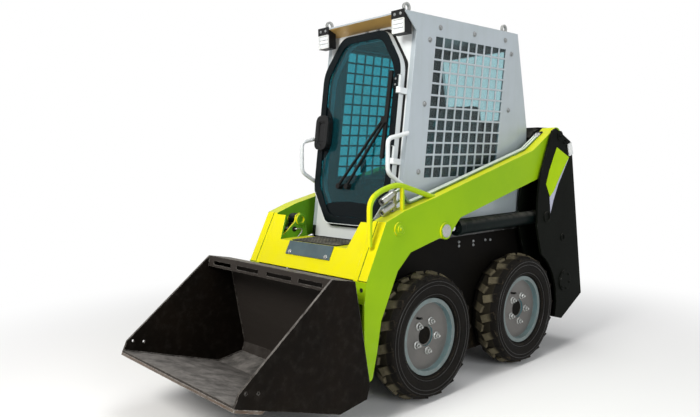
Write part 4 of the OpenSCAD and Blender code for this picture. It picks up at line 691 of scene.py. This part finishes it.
def dress_arms():
    """Pin ends, bracket bosses and clips, seams, plugs, and bolts on the step plate."""
    pins, caps, seams, plugs = (bmesh.new() for _ in range(4))
    apron_up = Vector((-sin(APRON_LEAN), 0, cos(APRON_LEAN)))
    apron_out = Vector((cos(APRON_LEAN), 0, sin(APRON_LEAN)))
    leg_out = Vector((cos(LEG_LEAN), 0, sin(LEG_LEAN)))
    for side in SIDES:
        out = Vector((0, side, 0))
        boss_y = ARM_OUT_Y + BOSS_T
        for made, at, radius in ((pins, LIFT_PIN, 0.03), (caps, TILT_PIN, 0.016)):
            lathe(made, spot(at[0], side * boss_y, at[1]), out,
                  [(radius, -SINK), (radius, 0.003), (radius * 0.85, 0.0045), (0.004, 0.0045)], 28)
        bolt(caps, spot(TILT_PIN[0], side * (boss_y + 0.004), TILT_PIN[1]), out, CAP_BOLT)
        lathe(caps, spot(TILT_PIN[0], side * BRACKET_Y, TILT_PIN[1]), -out,
              [(0.028, -SINK), (0.028, 0.01), (0.026, 0.012), (0.016, 0.012), (0.015, 0.003), (0.004, 0.003)],
              32)
        apron_foot = spot(APRON_LOW[0], 0, APRON_LOW[1])
        on_plate = apron_foot + out * STEP_BOLT_Y + apron_up * APRON_LEN * STEP_BOLT_SHARE
        bolt(pins, on_plate + apron_out * APRON_T * 0.5, apron_out, STEP_BOLT)
        clip = [spot(x, side * (BRACKET_Y - inward), z) for x, inward, z in CLIP]
        tube(pins, smooth_path(clip, 6), 0.0032, 10)
        lathe(plugs, spot(CLIP[0][0], side * BRACKET_Y, CLIP[0][2]), -out,
              [(0.013, -SINK), (0.013, 0.003), (0.01, 0.005), (0.004, 0.005)])
        lathe(plugs, spot(LEG_HOLE[0], side * LEG_HOLE[1], LEG_HOLE[2]), leg_out,
              [(0.009, -SINK), (0.009, 0.001), (0.007, 0.0015), (0.005, 0.0006), (0.002, 0.0006)])
        seam_foot = apron_foot + out * FRONT_SEAM_Y
        weld(seams, [seam_foot + apron_up * APRON_LEN, seam_foot, apron_foot + out * ARM_OUT_Y], 0.002, 11)
    piece("arm_pins", pins, steel, "lift_arms")
    piece("pin_caps", caps, lime_paint, "lift_arms")
    piece("arm_seams", seams, seam_paint, "lift_arms")
    piece("arm_plugs", plugs, rubber, "lift_arms")


def end_lines():
    """Nuts at the rear ends of the hydraulic lines, and elbows into the arm."""
    nuts, elbows = bmesh.new(), bmesh.new()
    way = Vector((-cos(LINE_RISE), 0, sin(LINE_RISE)))
    into_arm = Vector((-sin(LINE_RISE), 0, -cos(LINE_RISE)))
    for y in LINE_YS:
        end = spot(LINE_END[0], y, LINE_END[1])
        for start in (-0.004, 0.018):
            lathe(nuts, end + way * start, way,
                  [(0.0072, 0), (0.0084, 0.0015), (0.0084, 0.012), (0.007, 0.014)], 6)
        lathe(nuts, end + way * 0.008, way, [(0.006, 0), (0.0064, 0.002), (0.0064, 0.01), (0.006, 0.012)])
        bend = end + way * 0.03
        tube(elbows, smooth_path([bend, bend + way * 0.014, bend + way * 0.024 + into_arm * 0.005,
                                  bend + way * 0.03 + into_arm * 0.014], 5), 0.0066, 12)
    piece("line_nuts", nuts, steel, "lift_arms")
    piece("line_elbows", elbows, rubber, "lift_arms")


def grip_step():
    """Rows of raised rings on the step."""
    grip = bmesh.new()
    for row in range(5):
        for column in range(13):
            x = STEP_X0 + (STEP_X1 - STEP_X0) * (row + 0.6) / 5.2
            y = STEP_Y * (column + 0.5 * (row % 2) - 6.25) / 7
            lathe(grip, spot(x, y, STEP_Z), (0, 0, 1),
                  [(0.0062, -SINK), (0.0062, 0.0012), (0.0045, 0.0026), (0.0025, 0.0026), (0.0022, 0.0008)], 10)
    piece("step_grip", grip, tread_grit, "lift_arms")


def dress_tilt_cylinders():
    """Gland rings, ports and elbows on the tilt cylinders."""
    glands, ports = bmesh.new(), bmesh.new()
    along = Vector((ROD_PIN[0] - TILT_PIN[0], 0, ROD_PIN[1] - TILT_PIN[1])).normalized()
    ahead = Vector((-along.z, 0, along.x))
    r = TILT_BARREL_D * 0.54
    for side in SIDES:
        top = spot(TILT_PIN[0], side * TILT_Y, TILT_PIN[1])
        for back in (0.006, 0.02):
            ring(glands, top + along * (TILT_BARREL_L - back), along,
                 [(r - 0.002, -0.003), (r + 0.001, -0.003), (r + 0.002, 0.0), (r + 0.001, 0.003),
                  (r - 0.002, 0.003)], 48)
        port = top + along * 0.062 + ahead * TILT_BARREL_D * 0.48
        bend = port + ahead * 0.026
        lathe(ports, port, ahead, [(0.012, 0), (0.012, 0.009), (0.009, 0.011), (0.009, 0.016)], 6)
        tube(ports, smooth_path([port + ahead * 0.012, bend, bend + ahead * 0.008 - along * 0.008,
                                 bend + ahead * 0.01 - along * 0.024], 5), 0.0068, 12)
        lathe(ports, bend + ahead * 0.01 - along * 0.022, -along,
              [(0.0095, 0), (0.0095, 0.009), (0.007, 0.012)], 6)
    piece("tilt_glands", glands, cylinder_paint, "tilt_barrels")
    piece("tilt_ports", ports, bolt_steel, "tilt_barrels")


def weld_bucket():
    """Weld beads where the bucket's sides meet its sheet."""
    beads = bmesh.new()
    seam = inset_line(BUCKET_SHEET, BUCKET_T + 0.001)
    for side in SIDES:
        y = side * (BUCKET_Y - BUCKET_SIDE_T - 0.001)
        weld(beads, [in_bucket(p.x, y, p.y) for p in seam], 0.0042, 7)
    piece("bucket_welds", beads, bucket_steel, "bucket")


def dress_rear():
    """Bolts and lock of the rear door, and red tail lenses."""
    bolts, lenses = bmesh.new(), bmesh.new()
    for y in (0.28, -0.28):
        for k, h in enumerate((0.075, 0.425, 0.775)):
            bolt(bolts, rear(y, h, 0), REAR_OUT, PIN_BOLT, 0.4 * k)
    lathe(bolts, rear(0.2325, 0.335, 0.021), REAR_OUT,
          [(0.01, -SINK), (0.01, 0.003), (0.008, 0.004), (0.0035, 0.004), (0.003, 0.001)], 24)
    piece("rear_door_bolts", bolts, bolt_steel, "rear_door")
    out = Vector((-cos(TAIL_LEAN), 0, sin(TAIL_LEAN)))
    up = Vector((sin(TAIL_LEAN), 0, cos(TAIL_LEAN)))
    half = Vector((0, TAIL_W * 0.46, 0))
    for side in SIDES:
        face = spot(TAIL_AT[0], side * TAIL_Y, TAIL_AT[1]) + out * TAIL_T
        low, high = face - up * TAIL_H * 0.95, face - up * TAIL_H * 0.45
        plate(lenses, rounded([low - half, low + half, high + half, high - half], 0.005, 4), out, 0.004, 0.0015)
    piece("tail_red", lenses, lens_red, "frame")


def lamp_loop(mid, half, low, high, radius, steps=6):
    """A rounded loop on a work lamp's face."""
    corners = ((-half, low), (half, low), (half, high), (-half, high))
    return rounded([spot(LAMP_X, mid + y, z) for y, z in corners], radius, steps)


def dress_lamps():
    """Work lamps: three rows of lens in a bright rim."""
    rims, lenses = bmesh.new(), bmesh.new()
    out = Vector((1, 0, 0))
    half = LAMP_W / 2 - 0.002
    z0, z1 = LAMP_TOP - LAMP_H, LAMP_TOP - LAMP_H * 0.08
    rows = 3
    step = (z1 - z0 - 0.013) / rows
    for side in SIDES:
        mid = side * LAMP_Y
        band(rims, lamp_loop(mid, half, z0 + 0.002, z1 - 0.001, 0.006),
             lamp_loop(mid, half - 0.005, z0 + 0.007, z1 - 0.006, 0.004), out, -SINK, 0.005)
        for k in range(rows):
            low = z0 + 0.0065 + k * step
            loop = lamp_loop(mid, half - 0.0055, low + 0.001, low + step - 0.001, 0.003, 3)
            plate(lenses, loop, out, 0.004, 0.0015)
    piece("lamp_rims", rims, lens_white, "frame")
    piece("lamp_lenses", lenses, led_lens, "frame")


def door_loop(inset, out, radius=0.045):
    """The door's outline, moved in from its edge, at a distance out of the cab front."""
    w = DOOR_W / 2 - inset
    (top_w, top_h), (low_w, low_h) = DOOR_CUTS
    top_w, low_w, top_h, low_h = top_w * DOOR_W, low_w * DOOR_W, top_h * DOOR_H, low_h * DOOR_H
    slant = inset * 0.4
    z0, z1 = DOOR_FOOT + inset, DOOR_FOOT + DOOR_H - inset
    loop = [(w, z0 + low_h - slant), (w, z1 - top_h + slant), (w - top_w + slant, z1), (top_w - slant - w, z1),
            (-w, z1 - top_h + slant), (-w, z0 + low_h - slant), (low_w - slant - w, z0), (w - low_w + slant, z0)]
    return [front(p.x + DOOR_MID_Y, p.y, out) for p in rounded([Vector((a, b, 0)) for a, b in loop], radius)]


def latch_loop(w, h, radius):
    """A rounded loop on the latch housing's face."""
    corners = ((w, -h), (w, h), (-w, h), (-w, -h))
    at = [front(LATCH_AT[0] + a, LATCH_AT[1] + b, DOOR_OUT + LATCH_T) for a, b in corners]
    return rounded(at, radius, 8)


def dress_door():
    """Gasket on the cab, and the front door's printed border, a painted highlight along its lower edge, latch
    ring and hinge bolts.
    """
    gasket, printed, edge_highlight, latch, hinges = (bmesh.new() for _ in range(5))
    band(gasket, door_loop(-0.01, 0, 0.055), door_loop(0.016, 0, 0.04), FRONT_OUT, -SINK, 0.0042)
    piece("door_gasket", gasket, rubber, "frame")

    by_latch = ((0.0, 0.14), (0.012, 0.125), (0.04, 0.095), (0.055, 0.06), (0.058, 0.0), (0.055, -0.06),
                (0.04, -0.095), (0.012, -0.125), (0.0, -0.14))
    at_foot = ((0.135, 0.001), (-0.135, 0.001), (-0.17, 0.055), (-0.12, 0.068), (0.0, 0.075),
               (0.12, 0.068), (0.17, 0.055))
    inner_edge, low_edge = DOOR_MID_Y - DOOR_W / 2 + DOOR_BORDER, DOOR_FOOT + DOOR_BORDER
    plate(printed, [front(inner_edge + y, LATCH_AT[1] + h, GLASS_OUT) for y, h in by_latch], FRONT_OUT, 0.0006)
    plate(printed, [front(DOOR_MID_Y + y, low_edge + h, GLASS_OUT) for y, h in at_foot], FRONT_OUT, 0.0006)
    piece("door_print", printed, door_paint, "cab_door")

    # Painted highlight: a thin white tube along the door's lower edge
    outline = door_loop(0.002, DOOR_OUT - 0.001)
    tube(edge_highlight, outline[36:] + outline[:6], 0.002, 8)
    piece("door_edging", edge_highlight, white_paint, "cab_door")

    band(latch, latch_loop(LATCH_W * 0.49, LATCH_H * 0.49, 0.038), latch_loop(0.026, 0.056, 0.016),
         FRONT_OUT, -SINK, 0.007)
    band(latch, latch_loop(0.026, 0.056, 0.016), latch_loop(0.02, 0.05, 0.012), FRONT_OUT, -SINK, 0.004)
    plate(latch, latch_loop(0.018, 0.046, 0.01), FRONT_OUT, 0.002, 0.001)
    lathe(latch, front(LATCH_AT[0], LATCH_AT[1] - LATCH_H * 0.36, DOOR_OUT + LATCH_T + 0.006), FRONT_OUT,
          [(0.009, 0), (0.009, 0.002), (0.006, 0.0025), (0.0058, 0.001), (0.002, 0.001)], 20)
    piece("latch_ring", latch, plastic, "cab_door")

    for h in HINGE_HEIGHTS:
        for share in (0.25, 0.75):
            bolt(hinges, front(HINGE_Y - 0.022, h + KNUCKLE_H * share, HINGE_D - 0.002), FRONT_OUT, HINGE_BOLT)
        ring(hinges, front(HINGE_Y, h + KNUCKLE_H, HINGE_D), FRONT_UP,
             [(0.0065, 0.0005), (0.0065, 0.003), (0.0095, 0.003), (0.0105, 0.0005)], 24)
    piece("hinge_bolts", hinges, bolt_steel, "cab_door")


# Seat: two sewn pads, swelled by a cloth simulation

def cut_cube(bm, cuts):
    """A cube from -1 to 1 with its sides cut into small faces."""
    corners = ((-1, -1), (1, -1), (1, 1), (-1, 1))
    verts = [bm.verts.new((u, v, w)) for w in (-1, 1) for u, v in corners]
    for quad in ((0, 3, 2, 1), (4, 5, 6, 7), (0, 1, 5, 4), (1, 2, 6, 5), (2, 3, 7, 6), (3, 0, 4, 7)):
        bm.faces.new([verts[k] for k in quad])
    bmesh.ops.subdivide_edges(bm, edges=bm.edges, cuts=cuts, use_grid_fill=True)


def bake(obj):
    """Replace an object's mesh by what its modifiers make of it."""
    graph = bpy.context.evaluated_depsgraph_get()
    mesh = bpy.data.meshes.new_from_object(obj.evaluated_get(graph))
    old = obj.data
    obj.modifiers.clear()
    obj.data = mesh
    bpy.data.meshes.remove(old)


def swell(obj, cap):
    """Blow a closed mesh up as cloth, no point further than the cap."""
    start = [v.co.copy() for v in obj.data.vertices]
    cloth = obj.modifiers.new("cloth", "CLOTH")
    cloth.settings.quality = 5
    cloth.settings.use_pressure = True
    cloth.settings.uniform_pressure_force = 4.0
    cloth.settings.effector_weights.gravity = 0.0
    for number in range(1, 21):
        scene.frame_set(number)
    bake(obj)
    scene.frame_set(1)
    for vert, rest in zip(obj.data.vertices, start):
        move = vert.co - rest
        if move.length > cap:
            vert.co = rest + move.normalized() * cap


def pad(name, shape, cap):
    """A cushion over a shape function of (u, v, w) from -1 to 1, remeshed and swelled."""
    bm = bmesh.new()
    cut_cube(bm, 21)
    for vert in bm.verts:
        vert.co = shape(*vert.co)
    obj = piece(name, bm, vinyl, "frame")
    remesh = obj.modifiers.new("remesh", "REMESH")
    remesh.mode, remesh.voxel_size = "VOXEL", 0.006
    bake(obj)
    swell(obj, cap)
    smoother = obj.modifiers.new("smooth", "SMOOTH")
    smoother.iterations, smoother.factor = 4, 0.5
    bake(obj)
    obj.data.polygons.foreach_set("use_smooth", [True] * len(obj.data.polygons))
    return obj


def pull(u, v):
    """How far a sewn cover draws in towards its corners."""
    return 1 - 0.07 * (u * u) * (v * v) - 0.03 * u ** 4


def channel(v, off):
    """The depth of the sewn channels: one down each side, and one across between them."""
    across = exp(-off ** 2) if abs(v) < 0.5 else 0
    return 0.01 * (exp(-((abs(v) - 0.52) / 0.05) ** 2) + across)


def seat_shape(u, v, w):
    """The cushion, from front to back, side to side and bottom to top."""
    groove = channel(v, (u - 0.1) / 0.05) if w > 0.9 else 0.0
    x = SEAT_X + 0.012 + (u + 1) / 2 * (SEAT_L - 0.022)
    y = v * (SEAT_W / 2 - 0.012) * pull(u, w)
    crown = 0.012 * (1 - u * u) * (1 - v * v)
    dip = 0.01 * exp(-(v / 0.45) ** 2)
    z = SEAT_FOOT + 0.002 + (w + 1) / 2 * (CUSHION_TOP - SEAT_FOOT - 0.022 + crown - dip) - groove
    if u > 0.6:
        z -= 0.03 * ((u - 0.6) / 0.4) ** 2 * (w + 1) / 2
    return spot(x, y, z)


def back_shape(u, v, w):
    """The back rest, from back to front, side to side and bottom to top."""
    groove = channel(v, (w - 0.25) / 0.04) if u > 0.9 else 0.0
    height = (w + 1) / 2
    narrow = 1 - 0.16 * max(0.0, height - 0.6) / 0.4
    thick = (BACK_T - 0.022) * (1 - 0.3 * height)
    d = 0.008 + (u + 1) / 2 * thick - groove + (0.01 * (1 - v * v) * (1 - w * w) if u > 0 else 0)
    wing = 0.014 * max(0.0, abs(v) - 0.6) / 0.4 if u > 0 else 0.0
    h = -0.018 + height * (BACK_H - 0.024) * (1 - 0.02 * v * v)
    y = v * (SEAT_W / 2 - 0.012) * narrow * pull(w, u)
    x = SEAT_X - h * sin(BACK_LEAN) + (d + wing) * cos(BACK_LEAN)
    z = CUSHION_TOP + h * cos(BACK_LEAN) + (d + wing) * sin(BACK_LEAN)
    return spot(x, y, z)


def cover_seat():
    """The seat's two pads, in place of its plain solid."""
    seat_pad = pad("seat_pad", seat_shape, 0.007)
    back_pad = pad("seat_back_pad", back_shape, 0.007)
    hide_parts("seat")
    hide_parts("seat")


def boot_levers():
    """Rubber boots and moulded grips on the levers."""
    boots = bmesh.new()
    profile = [(0.024, 0.0)]
    for k in range(5):
        r = 0.023 - 0.0028 * k
        profile += [(r, 0.004 + 0.007 * k), (r - 0.004, 0.0075 + 0.007 * k)]
    profile.append((0.0088, 0.041))
    for side in SIDES:
        foot = spot(LEVER_X, side * LEVER_Y, CONSOLE_TOP)
        lathe(boots, foot, (0, 0, 1), profile)
        lathe(boots, foot + Vector((0, 0, 0.062)), (0, 0, 1), [
            (0.009, 0.0), (0.0125, 0.004), (0.0135, 0.016), (0.0125, 0.026), (0.014, 0.038),
            (0.015, 0.05), (0.013, 0.0575), (0.006, 0.06)])
    piece("lever_boots", boots, rubber, "frame")


# Stage: floor, world and soft lamps

def camera_light(tree):
    """One for the rays that see the background: camera, glossy and transmission."""
    path = tree.nodes.new("ShaderNodeLightPath")
    seen = math_of(tree, "MAXIMUM", path.outputs["Is Camera Ray"], path.outputs["Is Glossy Ray"])
    return math_of(tree, "MAXIMUM", seen, path.outputs["Is Transmission Ray"])


def lay_floor():
    """A pale floor that keeps the shadow and turns white further out."""
    mesh = bpy.data.meshes.new("floor")
    mesh.from_pydata([(-30, -30, 0), (30, -30, 0), (30, 30, 0), (-30, 30, 0)], [], [(0, 1, 2, 3)])
    floor = bpy.data.objects.new("floor", mesh)
    scene.collection.objects.link(floor)
    material, tree, shader = new_material("floor")
    tree.nodes.remove(shader)
    matte = add(tree, "BsdfDiffuse", {"Color": (0.86, 0.86, 0.86, 1)})
    white = add(tree, "Emission", {"Color": (1, 1, 1, 1), "Strength": 1.0})
    coords = tree.nodes.new("ShaderNodeTexCoord").outputs["Object"]
    away = add(tree, "VectorMath", {0: coords}, operation="LENGTH").outputs["Value"]
    far = ramp_of(tree, away, 1.2, 3.2)
    both = add(tree, "MixShader", {0: math_of(tree, "MULTIPLY", far, camera_light(tree)),
                                   1: matte.outputs[0], 2: white.outputs[0]})
    tree.links.new(both.outputs[0], tree.nodes["Material Output"].inputs[0])
    mesh.materials.append(material)


def light_world(strength):
    """A white background that lights the object softly."""
    scene.world = bpy.data.worlds.new("world")
    scene.world.use_nodes = True
    tree = scene.world.node_tree
    back = tree.nodes["Background"]
    back.inputs[0].default_value = (1, 1, 1, 1)
    tree.links.new(ramp_of(tree, camera_light(tree), 0.0, 1.0, strength, 1.0), back.inputs[1])


def soft_lamp(name, at, aim, size, power, colour):
    """A broad lamp turned to a point."""
    data = bpy.data.lights.new(name, "AREA")
    data.shape, data.size, data.energy, data.color = "DISK", size, power, colour
    lamp = bpy.data.objects.new(name, data)
    scene.collection.objects.link(lamp)
    lamp.location = at
    lamp.rotation_euler = (Vector(aim) - Vector(at)).to_track_quat("-Z", "Y").to_euler()


dress_wheels()
bolt_cab()
dress_uprights()
dress_arms()
end_lines()
grip_step()
dress_tilt_cylinders()
weld_bucket()
dress_rear()
dress_lamps()
dress_door()
cover_seat()
boot_levers()

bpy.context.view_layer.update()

lay_floor()
light_world(0.27)
soft_lamp("key", (4.2, 0.6, 3.6), (0.2, 0.0, 0.8), 2.2, 215, (1.0, 0.98, 0.94))
soft_lamp("fill", (1.2, 5.0, 2.2), (-0.1, 0.0, 0.8), 3.0, 105, (0.95, 0.98, 1.0))
soft_lamp("top", (-0.6, 0.4, 5.2), (-0.2, 0.0, 0.6), 3.0, 100, (1.0, 1.0, 1.0))
